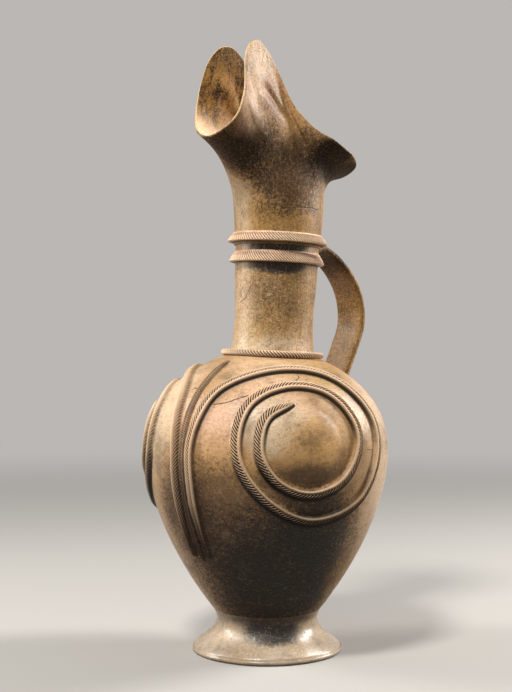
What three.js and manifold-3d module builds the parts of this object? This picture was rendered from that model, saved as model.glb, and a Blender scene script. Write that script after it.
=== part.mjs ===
// Base ring ware jug: hollow flaring foot, round body, leaning neck, cut-away spout, strap handle, applied spirals
// Millimetres, +Z up, origin on the ground under the body's axis; the spout looks along -X and the handle along +X
import * as THREE from 'three';
import { mergeVertices } from 'three/addons/utils/BufferGeometryUtils.js';
import Module from 'manifold-3d';

const wasm = await Module();
wasm.setup();

// Clearance left between pieces that touch
const clearance = 0.3;

// Hollow ring foot
const footHeight = 30.6;
const footRadius = 59.5;
const footWaistRadius = 40;
const footWaistHeight = 26;
const footLipHeight = 3;
const footWall = 4.6;

// Body: from the top of the foot to the crown where the neck is let in
const bodyRadius = 96;
const bodyWidestAbove = 128.3;
const bodyCrownAbove = 203;
const bodyCrownRadius = 34;
const bodyCrownSlope = THREE.MathUtils.degToRad(23);
const bodyWall = 5;

// Neck tube and its lean
const neckLean = THREE.MathUtils.degToRad(2.6);
const neckLeanTurn = THREE.MathUtils.degToRad(-43);
const neckOffset = 4.2;
const neckBaseRadius = 33.6;
const neckWaistRadius = 31.2;
const neckTopRadius = 33.2;
const neckLength = 93;
const neckWaistAbove = 34;
const neckWall = 4.2;
const neckSpigotDepth = 15;
const neckLapDepth = 4;

// Spout and mouth, measured from the neck joint
const mouthBaseRadius = 34.6;
const lipReach = 78.5;
const lipHeight = 70.5;
const openingHalfWidth = 28;
const wingHeight = 147.3;
const wingReach = 45;
const wingHalfGap = 18;
const pinchReach = 23.6;
const pinchHalfGap = 17;
const pinchTurn = THREE.MathUtils.degToRad(112);
const pinchSpread = THREE.MathUtils.degToRad(18);
const pinchFill = 10;
const flangeHalfWidth = 50.8;
const flangeBackReach = 60;
const flangeHeight = 71;
const flangeBackHeight = 55;
const lipWall = 2.4;

// Strap handle
const handleWidth = 29.6;
const handleThickness = 6.4;
const handleReach = 96;
const handleRootBelow = 4;
const handleBendBelow = 59;
const handleFootRadius = 74.5;
const tenonWidth = 17;
const tenonThickness = 4.6;
const tenonShow = 3;
const tenonDrop = 1.6;

// Applied ridges round the neck and the cord round its base
const ridgeReach = 4.7;
const upperRidgeHeight = 7;
const lowerRidgeHeight = 8.4;
const upperRidgeBelow = 3;
const ridgeSpacing = 15.8;
const collarReach = 6.6;
const collarHeight = 4.2;
const collarStep = 3.4;

// Applied relief on the body
const reliefTurn = THREE.MathUtils.degToRad(5.5);
const reliefHeight = 3.3;
const reliefInnerWidth = 3.6;
const reliefOuterWidth = 5.6;
const spiralTurn = THREE.MathUtils.degToRad(57.5);
const spiralBelowCrown = 65.6;
const spiralStart = THREE.MathUtils.degToRad(98);
const spiralStep = THREE.MathUtils.degToRad(45);
const spiralInnerRadius = 31.2;
const stemHalfWidth = 8.2;
const stemRise = 19;
const stemBottomAbove = 51.4;
const centreStripHalfWidth = 4;
const reliefStep = 9;

const ringSteps = 48;
const crownHeight = footHeight + bodyCrownAbove;
const spiralHeight = crownHeight - spiralBelowCrown;
const stemBottom = footHeight + stemBottomAbove;

function ceramic(colour, roughness) {
  return new THREE.MeshStandardMaterial({ color: colour, roughness, metalness: 0 });
}

const burnishedBuff = ceramic(0xa98763, 0.5);
const darkBuff = ceramic(0x7d6248, 0.55);
const paleFoot = ceramic(0x9c8d7b, 0.5);
const reliefClay = ceramic(0xb08a68, 0.6);

function addMesh(parent, name, geometry, material) {
  const mesh = new THREE.Mesh(geometry, material);
  mesh.name = name;
  parent.add(mesh);
  return mesh;
}

// Cubic curve in a radius and height plane, sampled evenly
function bend(points, steps) {
  const corners = points.map(([r, z]) => new THREE.Vector2(r, z));
  return new THREE.CubicBezierCurve(...corners).getPoints(steps);
}

function revolve(profile, steps = ringSteps) {
  const points = profile.map((p) => (Array.isArray(p) ? new THREE.Vector2(...p) : p));
  const geometry = new THREE.LatheGeometry(points, steps);
  geometry.rotateX(Math.PI / 2);
  return welded(geometry);
}

function welded(geometry) {
  geometry.deleteAttribute('normal');
  geometry.deleteAttribute('uv');
  const merged = mergeVertices(geometry, 1e-4);
  merged.setIndex(wholeTriangles(merged.index.array));
  merged.computeVertexNormals();
  return merged;
}

// Triangles that still have three different corners after welding
function wholeTriangles(index) {
  const kept = [];
  for (let i = 0; i < index.length; i += 3) {
    const [a, b, c] = [index[i], index[i + 1], index[i + 2]];
    if (a !== b && b !== c && a !== c) {
      kept.push(a, b, c);
    }
  }
  return kept;
}

// Closed skin through rings of points; the ends are capped, or joined when the rings run round in a loop
function skin(rings, looped) {
  const count = rings[0].length;
  const index = [];
  const last = looped ? rings.length : rings.length - 1;
  for (let i = 0; i < last; i += 1) {
    const next = (i + 1) % rings.length;
    for (let j = 0; j < count; j += 1) {
      const k = (j + 1) % count;
      index.push(i * count + j, i * count + k, next * count + k);
      index.push(i * count + j, next * count + k, next * count + j);
    }
  }
  if (!looped) {
    const end = (rings.length - 1) * count;
    for (let j = 1; j < count - 1; j += 1) {
      index.push(0, j + 1, j);
      index.push(end, end + j, end + j + 1);
    }
  }
  const geometry = new THREE.BufferGeometry().setFromPoints(rings.flat());
  geometry.setIndex(index);
  return welded(geometry);
}

function solidOf(geometry) {
  return new wasm.Manifold(new wasm.Mesh({
    numProp: 3,
    vertProperties: new Float32Array(geometry.attributes.position.array),
    triVerts: new Uint32Array(geometry.index.array),
  }));
}

function geometryOf(solid) {
  const mesh = solid.getMesh();
  const geometry = new THREE.BufferGeometry();
  geometry.setAttribute('position', new THREE.BufferAttribute(mesh.vertProperties, 3));
  geometry.setIndex(new THREE.BufferAttribute(mesh.triVerts, 1));
  return welded(geometry);
}

function cut(geometry, ...tools) {
  let solid = solidOf(geometry);
  for (const tool of tools) {
    solid = solid.subtract(solidOf(tool));
  }
  return geometryOf(solid);
}

// The neck frame stands on the body's crown and leans a little towards the handle and one side
const neckFrame = new THREE.Group();
neckFrame.name = 'neck_frame';
const leanDirection = new THREE.Vector3(Math.cos(neckLeanTurn), Math.sin(neckLeanTurn), 0);
const leanAxis = new THREE.Vector3(0, 0, 1).cross(leanDirection);
neckFrame.position.copy(leanDirection).multiplyScalar(neckOffset).setZ(crownHeight);
neckFrame.quaternion.setFromAxisAngle(leanAxis, neckLean);
neckFrame.updateMatrixWorld(true);

function inNeckFrame(geometry) {
  return geometry.clone().applyMatrix4(neckFrame.matrixWorld.clone().invert());
}

function inBodyFrame(geometry) {
  return geometry.clone().applyMatrix4(neckFrame.matrixWorld);
}

// Body: one closed wall with a round floor; the outer face is two curves that meet at the widest point
const widestHeight = footHeight + bodyWidestAbove;

function bodyOuter(extra = 0, steps = 10) {
  const waist = footWaistRadius + 0.3;
  const rise = crownHeight + 1.3;
  const crownArm = 0.3 * bodyRadius;
  const lower = bend([
    [waist + extra, footHeight],
    [waist + extra + 1.3, footHeight + 1],
    [bodyRadius + extra, widestHeight - 0.48 * bodyWidestAbove],
    [bodyRadius + extra, widestHeight],
  ], steps);
  const upper = bend([
    [bodyRadius + extra, widestHeight],
    [bodyRadius + extra, widestHeight + 0.6 * (rise - widestHeight)],
    [bodyCrownRadius + crownArm * Math.cos(bodyCrownSlope), rise + extra - crownArm * Math.sin(bodyCrownSlope)],
    [bodyCrownRadius, rise + extra],
  ], steps);
  return [...lower, ...upper.slice(1)];
}

// Points moved along the profile's own normal, to the inside for a positive distance
function insetProfile(points, distance) {
  return points.map((point, i) => {
    const before = points[Math.max(i - 1, 0)];
    const after = points[Math.min(i + 1, points.length - 1)];
    const run = after.clone().sub(before).normalize();
    return new THREE.Vector2(point.x - run.y * distance, point.y + run.x * distance);
  });
}

const outerProfile = bodyOuter(0, 48);

// Radius of the body's outer face at a height
function bodyRadiusAt(height) {
  for (let i = 1; i < outerProfile.length; i += 1) {
    const [low, high] = [outerProfile[i - 1], outerProfile[i]];
    if (height <= high.y || i === outerProfile.length - 1) {
      const share = (height - low.y) / (high.y - low.y);
      return low.x + share * (high.x - low.x);
    }
  }
  return bodyCrownRadius;
}

// Height of the upper half of the body's outer face at a radius
function shoulderHeightAt(radius) {
  for (let i = outerProfile.length - 1; i > 0; i -= 1) {
    const [low, high] = [outerProfile[i - 1], outerProfile[i]];
    if (radius <= low.x) {
      const share = (radius - high.x) / (low.x - high.x);
      return high.y + share * (low.y - high.y);
    }
  }
  return widestHeight;
}

function makeBody() {
  const outer = bodyOuter();
  const inner = insetProfile(bodyOuter(0, 7), bodyWall);
  const floor = footHeight + 1.4;
  const bottom = footHeight - 3.6;
  const profile = [
    [0, bottom],
    [0.5 * footWaistRadius, bottom + 0.4],
    [0.82 * footWaistRadius, bottom + 1.4],
    ...outer,
    [bodyCrownRadius - 8, crownHeight + 3],
    [bodyCrownRadius - 8, crownHeight - bodyWall + 2.4],
    ...inner.slice(2).reverse(),
    [0.8 * footWaistRadius, floor + 2.2],
    [0, floor],
  ];
  return cut(revolve(profile), inBodyFrame(neckEnvelope(clearance)), inBodyFrame(handleTenon('foot', clearance)));
}

// Foot: a flared ring, open below, whose top is dished to take the body
function makeFoot() {
  const flareSlope = THREE.MathUtils.degToRad(50);
  const arm = 11;
  const waistTop = footHeight - clearance;
  const outer = bend([
    [footWaistRadius, footWaistHeight],
    [footWaistRadius, footWaistHeight - 11],
    [footRadius - arm * Math.cos(flareSlope), footLipHeight + arm * Math.sin(flareSlope)],
    [footRadius, footLipHeight],
  ], 6);
  const inner = insetProfile(outer, -footWall).reverse();
  const profile = [
    [footWaistRadius + 0.2, waistTop],
    ...outer,
    [footRadius, 1.2],
    [footRadius - 1.2, 0],
    [footRadius - footWall - 0.6, 0],
    ...inner.slice(1),
    [footWaistRadius - footWall, waistTop - 3.4],
    [footWaistRadius - footWall + 1, waistTop - 2.6],
    [footWaistRadius + 0.2, waistTop],
  ];
  return revolve(profile.reverse());
}

// Neck radius from the crown up to the joint, as a shallow waist
function neckRadiusAt(height) {
  const below = Math.max(Math.min((neckWaistAbove - height) / neckWaistAbove, 1), 0);
  const above = Math.max(Math.min((height - neckWaistAbove) / (neckLength - neckWaistAbove), 1), 0);
  const flare = (neckBaseRadius - neckWaistRadius) * below ** 2;
  const swell = (neckTopRadius - neckWaistRadius) * above * (2 - above);
  return neckWaistRadius + flare + swell;
}

function neckOuter(extra) {
  const points = [];
  for (let i = 0; i <= 5; i += 1) {
    const height = (neckLength * i) / 5;
    points.push([neckRadiusAt(height) + extra, height]);
  }
  return points;
}

// Everything that the neck's outside fills, used to cut what is fitted against it
function neckEnvelope(extra) {
  const profile = [
    [0, -neckSpigotDepth - 20],
    [neckBaseRadius + extra, -neckSpigotDepth - 20],
    ...neckOuter(extra),
    [mouthBaseRadius + extra, neckLength - 0.5],
    [mouthBaseRadius + 0.6 + extra, neckLength + 14],
    [0, neckLength + 14],
  ];
  return revolve(profile, 40);
}

function makeNeckTube() {
  const lapRadius = mouthBaseRadius - 0.5 * neckWall - clearance;
  const inner = neckOuter(-neckWall).reverse();
  const profile = [
    [neckBaseRadius - neckWall, -neckSpigotDepth],
    [neckBaseRadius, -neckSpigotDepth],
    ...neckOuter(0),
    [lapRadius, neckLength],
    [lapRadius, neckLength + neckLapDepth],
    [neckTopRadius - neckWall, neckLength + neckLapDepth],
    ...inner,
    [neckBaseRadius - neckWall, -neckSpigotDepth],
  ];
  return cut(revolve(profile, 48), handleTenon('root', clearance));
}

// Rim of the mouth, for half the round: angle at the base, reach, half width, height and slope of the lip
function rimStations() {
  const cheek = 0.5 * (lipHeight + wingHeight);
  const waist = pinchHalfGap;
  const side = flangeHalfWidth;
  const back = flangeBackReach;
  return [
    [0, lipReach - 1, 0, lipHeight, 26],
    [11, lipReach - 1.6, 0.34 * openingHalfWidth, lipHeight + 2, 29],
    [23, lipReach - 4.8, 0.73 * openingHalfWidth, lipHeight + 9, 40],
    [34, lipReach - 8.8, 0.94 * openingHalfWidth, lipHeight + 19, 54],
    [44, lipReach - 11.5, openingHalfWidth, cheek - 6, 66],
    [53, lipReach - 13.6, 0.97 * openingHalfWidth, cheek + 6, 78],
    [60, lipReach - 17.5, 0.81 * openingHalfWidth, wingHeight - 12.5, 88],
    [66, wingReach + 9, wingHalfGap + 2, wingHeight - 2.3, 92],
    [71, wingReach, wingHalfGap, wingHeight, 93],
    [78, 0.5 * (wingReach + pinchReach) + 2, 0.5 * (wingHalfGap + waist) - 0.5, wingHeight - 4.5, 93],
    [86, pinchReach + 3.5, waist - 0.3, wingHeight - 13.5, 92],
    [94, pinchReach - 1.3, waist + 1.5, wingHeight - 23, 91],
    [101, pinchReach - 4.7, waist + 5.5, flangeHeight + 42.5, 88],
    [108, pinchReach - 8.8, waist + 11, flangeHeight + 30.5, 84],
    [116, pinchReach - 14.8, 0.68 * side, flangeHeight + 20.5, 76],
    [124, pinchReach - 22.2, 0.82 * side, flangeHeight + 11.5, 62],
    [133, pinchReach - 30.6, 0.95 * side, flangeHeight + 6, 40],
    [144, -0.3 * back, side, flangeHeight, 26],
    [155, -0.54 * back, 0.95 * side, flangeHeight - 5, 20],
    [167, -0.82 * back, 0.67 * side, flangeBackHeight + 5, 16],
    [180, -back, 0, flangeBackHeight, 16],
  ];
}

// Smooth value of one column of the rim table at a base angle from 0 to 180 degrees
function rimValue(angle, column, mirrored) {
  const half = rimStations();
  const odd = mirrored ? -1 : 1;
  const before = half[1].map((v, c) => (c === 0 ? -v : v));
  const after = half[half.length - 2].map((v, c) => (c === 0 ? 360 - v : v));
  before[2] *= odd;
  after[2] *= odd;
  const rows = [before, ...half, after];
  const at = Math.max(rows.findIndex((row) => row[0] >= angle && row[0] > 0), 2);
  const [a, b, c, d] = [rows[at - 2], rows[at - 1], rows[at], rows[Math.min(at + 1, rows.length - 1)]];
  const share = (angle - b[0]) / (c[0] - b[0]);
  const slopeIn = ((c[column] - a[column]) / (c[0] - a[0])) * (c[0] - b[0]);
  const slopeOut = ((d[column] - b[column]) / (d[0] - b[0])) * (c[0] - b[0]);
  const [s2, s3] = [share ** 2, share ** 3];
  return (2 * s3 - 3 * s2 + 1) * b[column] + (s3 - 2 * s2 + share) * slopeIn
    + (-2 * s3 + 3 * s2) * c[column] + (s3 - s2) * slopeOut;
}

function rimAt(turn) {
  const degrees = THREE.MathUtils.radToDeg(turn);
  const side = degrees > 180 ? -1 : 1;
  const angle = side > 0 ? degrees : 360 - degrees;
  const point = new THREE.Vector3(
    -rimValue(angle, 1, false),
    -side * rimValue(angle, 2, true),
    neckLength + rimValue(angle, 3, false),
  );
  return { point, slope: THREE.MathUtils.degToRad(rimValue(angle, 4, false)) };
}

// Point of the mouth's outer face: turn runs round from the spout, share runs up from the joint to the rim;
// between wing and flange the wall is filled out sideways, so that the two flow together
function mouthPoint(turn, share) {
  const out = new THREE.Vector3(-Math.cos(turn), -Math.sin(turn), 0);
  const start = out.clone().multiplyScalar(mouthBaseRadius).setZ(neckLength + clearance);
  const rim = rimAt(turn);
  const span = rim.point.distanceTo(start);
  const rimOut = rim.point.clone().setZ(0).normalize();
  const lift = new THREE.Vector3(0, 0, 1);
  const backward = 0.5 - 0.5 * Math.cos(turn);
  const upright = THREE.MathUtils.lerp(0.55, 0.78, backward) * span;
  const spread = (0.01 + 0.04 * backward ** 2) * span;
  const flare = 0.29 * span;
  const rise = start.clone().addScaledVector(lift, upright).addScaledVector(out, spread);
  const fall = rim.point.clone()
    .addScaledVector(rimOut, -flare * Math.cos(rim.slope))
    .addScaledVector(lift, -flare * Math.sin(rim.slope));
  const away = (Math.PI - Math.abs(Math.PI - turn) - pinchTurn) / pinchSpread;
  fall.y += Math.sign(out.y) * pinchFill * Math.exp(-(away ** 2));
  return new THREE.CubicBezierCurve3(start, rise, fall, rim.point).getPoint(share);
}

function mouthNormal(turn, share) {
  const step = 0.01;
  const up = mouthPoint(turn, Math.min(share + step, 1)).sub(mouthPoint(turn, Math.max(share - step, 0)));
  const round = mouthPoint(turn + step, share).sub(mouthPoint(turn - step, share));
  return round.cross(up).normalize();
}

function makeMouth() {
  const columns = 56;
  const rows = 8;
  const rings = [];
  for (let j = 0; j < columns; j += 1) {
    rings.push(mouthSection((2 * Math.PI * j) / columns, rows));
  }
  const lap = revolve([
    [0, neckLength - 5],
    [mouthBaseRadius - 0.5 * neckWall, neckLength - 5],
    [mouthBaseRadius - 0.5 * neckWall, neckLength + neckLapDepth + clearance],
    [0, neckLength + neckLapDepth + clearance],
  ], 40);
  return cut(skin(rings, true), lap);
}

// One closed section of the mouth's wall: up the outside, over the rim and down the inside
function mouthSection(turn, rows) {
  const outside = [];
  const inside = [];
  for (let i = 0; i <= rows; i += 1) {
    const share = i / rows;
    const wall = THREE.MathUtils.lerp(neckWall, lipWall, Math.min(1.6 * share, 1));
    const point = mouthPoint((turn + 2 * Math.PI) % (2 * Math.PI), share);
    const normal = mouthNormal(turn, share);
    outside.push(point);
    inside.unshift(point.clone().addScaledVector(normal, -wall));
  }
  return [...outside, ...inside].reverse();
}

// Handle: a flat strap whose ends are let through the neck and the shoulder
function handlePath() {
  const rootHeight = neckLength - handleRootBelow;
  const bendHeight = neckLength - handleBendBelow;
  const footWorld = new THREE.Vector3(handleFootRadius, 0, shoulderHeightAt(handleFootRadius));
  const foot = footWorld.applyMatrix4(neckFrame.matrixWorld.clone().invert());
  const reach = handleReach - neckOffset;
  const root = new THREE.Vector3(neckTopRadius, 0, rootHeight);
  const top = new THREE.CubicBezierCurve3(
    root,
    new THREE.Vector3(neckTopRadius + 12, 0, rootHeight + 3),
    new THREE.Vector3(reach, 0.4 * foot.y, bendHeight + 0.67 * (rootHeight - bendHeight)),
    new THREE.Vector3(reach, 0.5 * foot.y, bendHeight),
  );
  const low = new THREE.CubicBezierCurve3(
    new THREE.Vector3(reach, 0.5 * foot.y, bendHeight),
    new THREE.Vector3(reach, 0.6 * foot.y, bendHeight - 10),
    new THREE.Vector3(reach + 1, foot.y, bendHeight - 11),
    foot,
  );
  return { root, foot, points: [...top.getPoints(9), ...low.getPoints(8).slice(1)] };
}

// Ring of eight points round a strap: wide across, rounded at its two edges
function strapRing(centre, along, width, thickness) {
  const across = new THREE.Vector3(0, 1, 0);
  const out = new THREE.Vector3().crossVectors(across, along).normalize();
  const shape = [
    [-0.5, 0.22], [-0.38, 0.5], [0.38, 0.5], [0.5, 0.22],
    [0.5, -0.22], [0.38, -0.5], [-0.38, -0.5], [-0.5, -0.22],
  ];
  return shape.map(([a, b]) => centre.clone()
    .addScaledVector(across, a * width)
    .addScaledVector(out, b * thickness));
}

function tenonEnds(end) {
  const { root, foot } = handlePath();
  if (end === 'root') {
    const low = root.clone().setZ(root.z - tenonDrop);
    return [low.clone().setX(neckTopRadius + 2.5), low.clone().setX(neckTopRadius - neckWall - tenonShow)];
  }
  const slope = new THREE.Vector3(-0.74, 0, -0.67);
  return [foot.clone().addScaledVector(slope, -2.5), foot.clone().addScaledVector(slope, bodyWall + tenonShow)];
}

// Tongue at one end of the handle, grown by extra all round where it is used as a cutting tool
function handleTenon(end, extra) {
  const [outer, inner] = tenonEnds(end);
  const along = inner.clone().sub(outer).normalize();
  const width = tenonWidth + 2 * extra;
  const thickness = tenonThickness + 2 * extra;
  const far = inner.clone().addScaledVector(along, 4 * extra);
  return skin([strapRing(outer, along, width, thickness), strapRing(far, along, width, thickness)], false);
}

function handleStrap(extra) {
  const { root, foot, points } = handlePath();
  const start = root.clone().setX(root.x - 3);
  const end = foot.clone().add(new THREE.Vector3(-2, 0, -4));
  const path = [start, ...points, end];
  const rings = path.map((point, i) => {
    const before = path[Math.max(i - 1, 0)];
    const after = path[Math.min(i + 1, path.length - 1)];
    return strapRing(point, after.clone().sub(before).normalize(), handleWidth + 2 * extra, handleThickness + 2 * extra);
  });
  return skin(rings, false);
}

function makeHandle() {
  const strap = cut(handleStrap(0), neckEnvelope(clearance), inNeckFrame(bodyEnvelope(clearance)));
  const solid = solidOf(strap).add(solidOf(handleTenon('root', 0))).add(solidOf(handleTenon('foot', 0)));
  return geometryOf(solid);
}

// Everything that the body's outside fills
function bodyEnvelope(extra) {
  const outer = bodyOuter(extra, 20);
  const crown = [[bodyCrownRadius - 8, crownHeight + 3 + extra], [0, crownHeight + 4 + extra]];
  return revolve([[0, footHeight], ...outer, ...crown], 72);
}

// Ridge round the neck: hatched slope above, sharp edge, undercut below
function makeRidge(edgeHeight, ridgeHeight) {
  const wallAt = (height) => (height > neckLength ? mouthBaseRadius + 0.4 : neckRadiusAt(height)) + clearance;
  const edge = Math.max(wallAt(edgeHeight), wallAt(edgeHeight + ridgeHeight)) + ridgeReach;
  const low = edgeHeight - 0.12 * ridgeHeight;
  const top = edgeHeight + ridgeHeight;
  const inner = Math.max(wallAt(low), wallAt(top), wallAt(0.5 * (low + top)));
  const ring = revolve([
    [inner, low],
    [edge - 1.2, edgeHeight - 0.6],
    [edge, edgeHeight + 0.4],
    [edge - 0.5, edgeHeight + 0.36 * ridgeHeight],
    [inner + 0.34 * ridgeReach, edgeHeight + 0.8 * ridgeHeight],
    [inner + 0.5, top],
    [inner, top],
    [inner, low],
  ], 40);
  return cut(ring, handleStrap(clearance), handleTenon('root', 2 * clearance));
}

// Cord round the base of the neck, with the small step of clay under it that seats on the shoulder
function makeCollar() {
  const inner = neckBaseRadius + clearance;
  const edge = inner + collarReach;
  const ring = revolve([
    [inner, -collarStep - 6],
    [edge - 0.6, -collarStep - 6],
    [edge - 0.6, -0.1],
    [edge, 1],
    [edge + 0.2, 0.45 * collarHeight],
    [edge - 0.8, 0.85 * collarHeight],
    [edge - 2.4, collarHeight],
    [inner, collarHeight + 0.4],
    [inner, -collarStep - 6],
  ], 40);
  return cut(ring, inNeckFrame(bodyEnvelope(clearance)));
}

// Relief strips are laid on the body along a path of turns from the front and heights
function bodyPoint(turn, height, lift = 0) {
  const radius = bodyRadiusAt(height);
  const out = new THREE.Vector3(-Math.cos(turn), -Math.sin(turn), 0);
  const below = bodyRadiusAt(height - 1);
  const above = bodyRadiusAt(height + 1);
  const normal = out.clone().multiplyScalar(2).setZ(below - above).normalize();
  return out.clone().multiplyScalar(radius).setZ(height).addScaledVector(normal, lift);
}

function bodyNormal(turn, height) {
  return bodyPoint(turn, height, 1).sub(bodyPoint(turn, height));
}

// Radii of the coil about its centre, one every eighth of a turn from the inner tip
function coilRadii() {
  const r = spiralInnerRadius;
  return [
    r, r + 1, r, r - 0.3, r + 3.2, r + 9, r + 14.7, r + 13.3, r + 11.7,
    r + 15.5, r + 15.5, r + 15, r + 23.8, r + 31.9, r + 34.5, r + 27.4, r + 23.9, r + 35.1,
  ];
}

function spiralPath() {
  const coil = coilRadii().map((radius, i) => {
    const angle = spiralStart + i * spiralStep;
    const height = spiralHeight + radius * Math.sin(angle);
    const across = (radius * Math.cos(angle)) / bodyRadiusAt(height);
    return [spiralTurn + Math.asin(across), height];
  });
  const stem = [0, 0.2, 0.4, 0.6, 0.8, 1].map((share) => {
    const height = THREE.MathUtils.lerp(spiralHeight + stemRise, stemBottom, share);
    const spread = share === 0 ? 1.4 : 1;
    return [(spread * stemHalfWidth) / bodyRadiusAt(height), height];
  });
  return [...coil, ...stem];
}

// Even steps along a smooth curve through stations, kept on the body's outer face
function laidPath(stations, step) {
  const curve = new THREE.CatmullRomCurve3(stations.map(([turn, height]) => bodyPoint(turn, height)), false, 'centripetal');
  const steps = Math.round(curve.getLength() / step);
  return curve.getSpacedPoints(steps).map((p) => [Math.atan2(-p.y, -p.x), p.z]);
}

// Strip of clay: inner and outer are the widths either side of its crest at each share of the length
function layStrip(stations, side, inner, outer, height) {
  const path = laidPath(stations, reliefStep).map(([turn, z]) => [side * turn + reliefTurn, z]);
  const rings = path.map(([turn, z], i) => {
    const share = i / (path.length - 1);
    const before = bodyPoint(...path[Math.max(i - 1, 0)]);
    const after = bodyPoint(...path[Math.min(i + 1, path.length - 1)]);
    const normal = bodyNormal(turn, z);
    const across = after.sub(before).normalize().cross(normal).multiplyScalar(side);
    const centre = bodyPoint(turn, z);
    return stripSection(centre, across, inner(share), outer(share), height(share), side);
  });
  return skin(rings, false);
}

function stripSection(centre, across, inner, outer, height, side) {
  const shape = [
    [-inner, 0], [0.2 * outer, 0], [outer, 0], [outer, 0.22 * height],
    [0.55 * outer, 0.72 * height], [0.1 * outer, height], [-0.45 * inner, 0.8 * height], [-inner, 0.2 * height],
  ];
  const ring = shape.map(([a, lift]) => {
    const foot = centre.clone().addScaledVector(across, a);
    const turn = Math.atan2(-foot.y, -foot.x);
    return bodyPoint(turn, foot.z, clearance + lift);
  });
  return side > 0 ? ring.reverse() : ring;
}

// Full size along most of a strip, drawn out to a share of it at either end
function drawnOut(full, startShare, endShare, startRun, endRun) {
  return (share) => {
    const begin = THREE.MathUtils.lerp(startShare, 1, Math.min(share / startRun, 1));
    const finish = THREE.MathUtils.lerp(endShare, 1, Math.min((1 - share) / endRun, 1));
    return full * Math.min(begin, finish);
  };
}

function makeSpiral(side) {
  return layStrip(
    spiralPath(),
    side,
    drawnOut(reliefInnerWidth, 0.15, 0.4, 0.05, 0.06),
    drawnOut(reliefOuterWidth, 0.15, 0.4, 0.05, 0.06),
    drawnOut(reliefHeight, 0.35, 0.4, 0.04, 0.05),
  );
}

function makeCentreStrip() {
  const top = shoulderHeightAt(neckBaseRadius + collarReach + 5);
  const stations = [];
  for (let i = 0; i <= 10; i += 1) {
    stations.push([0, THREE.MathUtils.lerp(top, stemBottom - 3, i / 10)]);
  }
  const half = (share) => (share < 0.3 ? centreStripHalfWidth : 0.55 * centreStripHalfWidth);
  return layStrip(stations, 1, half, half, drawnOut(0.8 * reliefHeight, 0.5, 0.4, 0.1, 0.1));
}

const jug = new THREE.Group();
jug.name = 'base_ring_jug';
jug.add(neckFrame);
const neckJoint = neckLength - upperRidgeBelow;
addMesh(jug, 'ring_foot', makeFoot(), paleFoot);
addMesh(jug, 'body', makeBody(), burnishedBuff);
addMesh(neckFrame, 'neck_tube', makeNeckTube(), burnishedBuff);
addMesh(neckFrame, 'spouted_mouth', makeMouth(), darkBuff);
addMesh(neckFrame, 'strap_handle', makeHandle(), burnishedBuff);
addMesh(neckFrame, 'upper_neck_ridge', makeRidge(neckJoint, upperRidgeHeight), reliefClay);
addMesh(neckFrame, 'lower_neck_ridge', makeRidge(neckJoint - ridgeSpacing, lowerRidgeHeight), reliefClay);
addMesh(neckFrame, 'collar_cord', makeCollar(), reliefClay);
addMesh(jug, 'right_spiral', makeSpiral(1), reliefClay);
addMesh(jug, 'left_spiral', makeSpiral(-1), reliefClay);
addMesh(jug, 'centre_strip', makeCentreStrip(), reliefClay);

export default jug;
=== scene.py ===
import math

import bpy
import numpy as np
from mathutils import Matrix, Vector, noise


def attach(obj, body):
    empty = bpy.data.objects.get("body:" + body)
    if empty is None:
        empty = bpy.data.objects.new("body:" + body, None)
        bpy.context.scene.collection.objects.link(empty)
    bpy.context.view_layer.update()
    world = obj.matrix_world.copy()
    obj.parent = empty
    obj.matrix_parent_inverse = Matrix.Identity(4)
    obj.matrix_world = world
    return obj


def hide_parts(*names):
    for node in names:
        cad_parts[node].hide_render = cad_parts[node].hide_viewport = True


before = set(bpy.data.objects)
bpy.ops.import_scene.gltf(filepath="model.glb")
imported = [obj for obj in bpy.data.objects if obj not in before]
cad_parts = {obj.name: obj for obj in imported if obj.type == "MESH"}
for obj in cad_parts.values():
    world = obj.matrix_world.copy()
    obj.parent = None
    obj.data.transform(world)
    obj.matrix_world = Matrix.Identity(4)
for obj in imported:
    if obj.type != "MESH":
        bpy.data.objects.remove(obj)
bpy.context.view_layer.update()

# Lengths are written in millimetres and turned to metres where a mesh is made
MM = 0.001
TO_MM = 1000
FULL_TURN = 2 * math.pi
BODY = "root"
# Clearance at every join, as in the record's solids
GAP = 0.3
# Points closer than this, in metres, are made one
WELD = 2e-6

# Foot and body, as in the record's solids
FOOT_HEIGHT = 30.6
FOOT_RADIUS = 59.5
FOOT_WAIST_RADIUS = 40.0
FOOT_WAIST_HEIGHT = 26.0
FOOT_LIP_HEIGHT = 3.0
FOOT_WALL = 4.6
BODY_RADIUS = 96.0
BODY_WIDEST_ABOVE = 128.3
BODY_CROWN_ABOVE = 203.0
BODY_CROWN_RADIUS = 34.0
BODY_CROWN_SLOPE = math.radians(23)
BODY_WALL = 5.0
CROWN_HEIGHT = FOOT_HEIGHT + BODY_CROWN_ABOVE
WIDEST_HEIGHT = FOOT_HEIGHT + BODY_WIDEST_ABOVE

# Neck, in its own leaning frame
NECK_LEAN = math.radians(2.6)
NECK_LEAN_TURN = math.radians(-43)
NECK_OFFSET = 4.2
NECK_BASE_RADIUS = 33.6
NECK_WAIST_RADIUS = 31.2
NECK_TOP_RADIUS = 33.2
NECK_LENGTH = 93.0
NECK_WAIST_ABOVE = 34.0
NECK_WALL = 4.2
NECK_SPIGOT_DEPTH = 15.0
NECK_LAP = 4.0

# Mouth and spout
MOUTH_BASE_RADIUS = 34.6
LIP_REACH = 78.5
LIP_HEIGHT = 70.5
OPENING_HALF_WIDTH = 28.0
WING_HEIGHT = 147.3
WING_REACH = 45.0
WING_HALF_GAP = 18.0
PINCH_REACH = 23.6
PINCH_HALF_GAP = 17.0
FLANGE_HALF_WIDTH = 50.8
FLANGE_BACK_REACH = 60.0
FLANGE_HEIGHT = 71.0
FLANGE_BACK_HEIGHT = 55.0
LIP_WALL = 2.4

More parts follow.
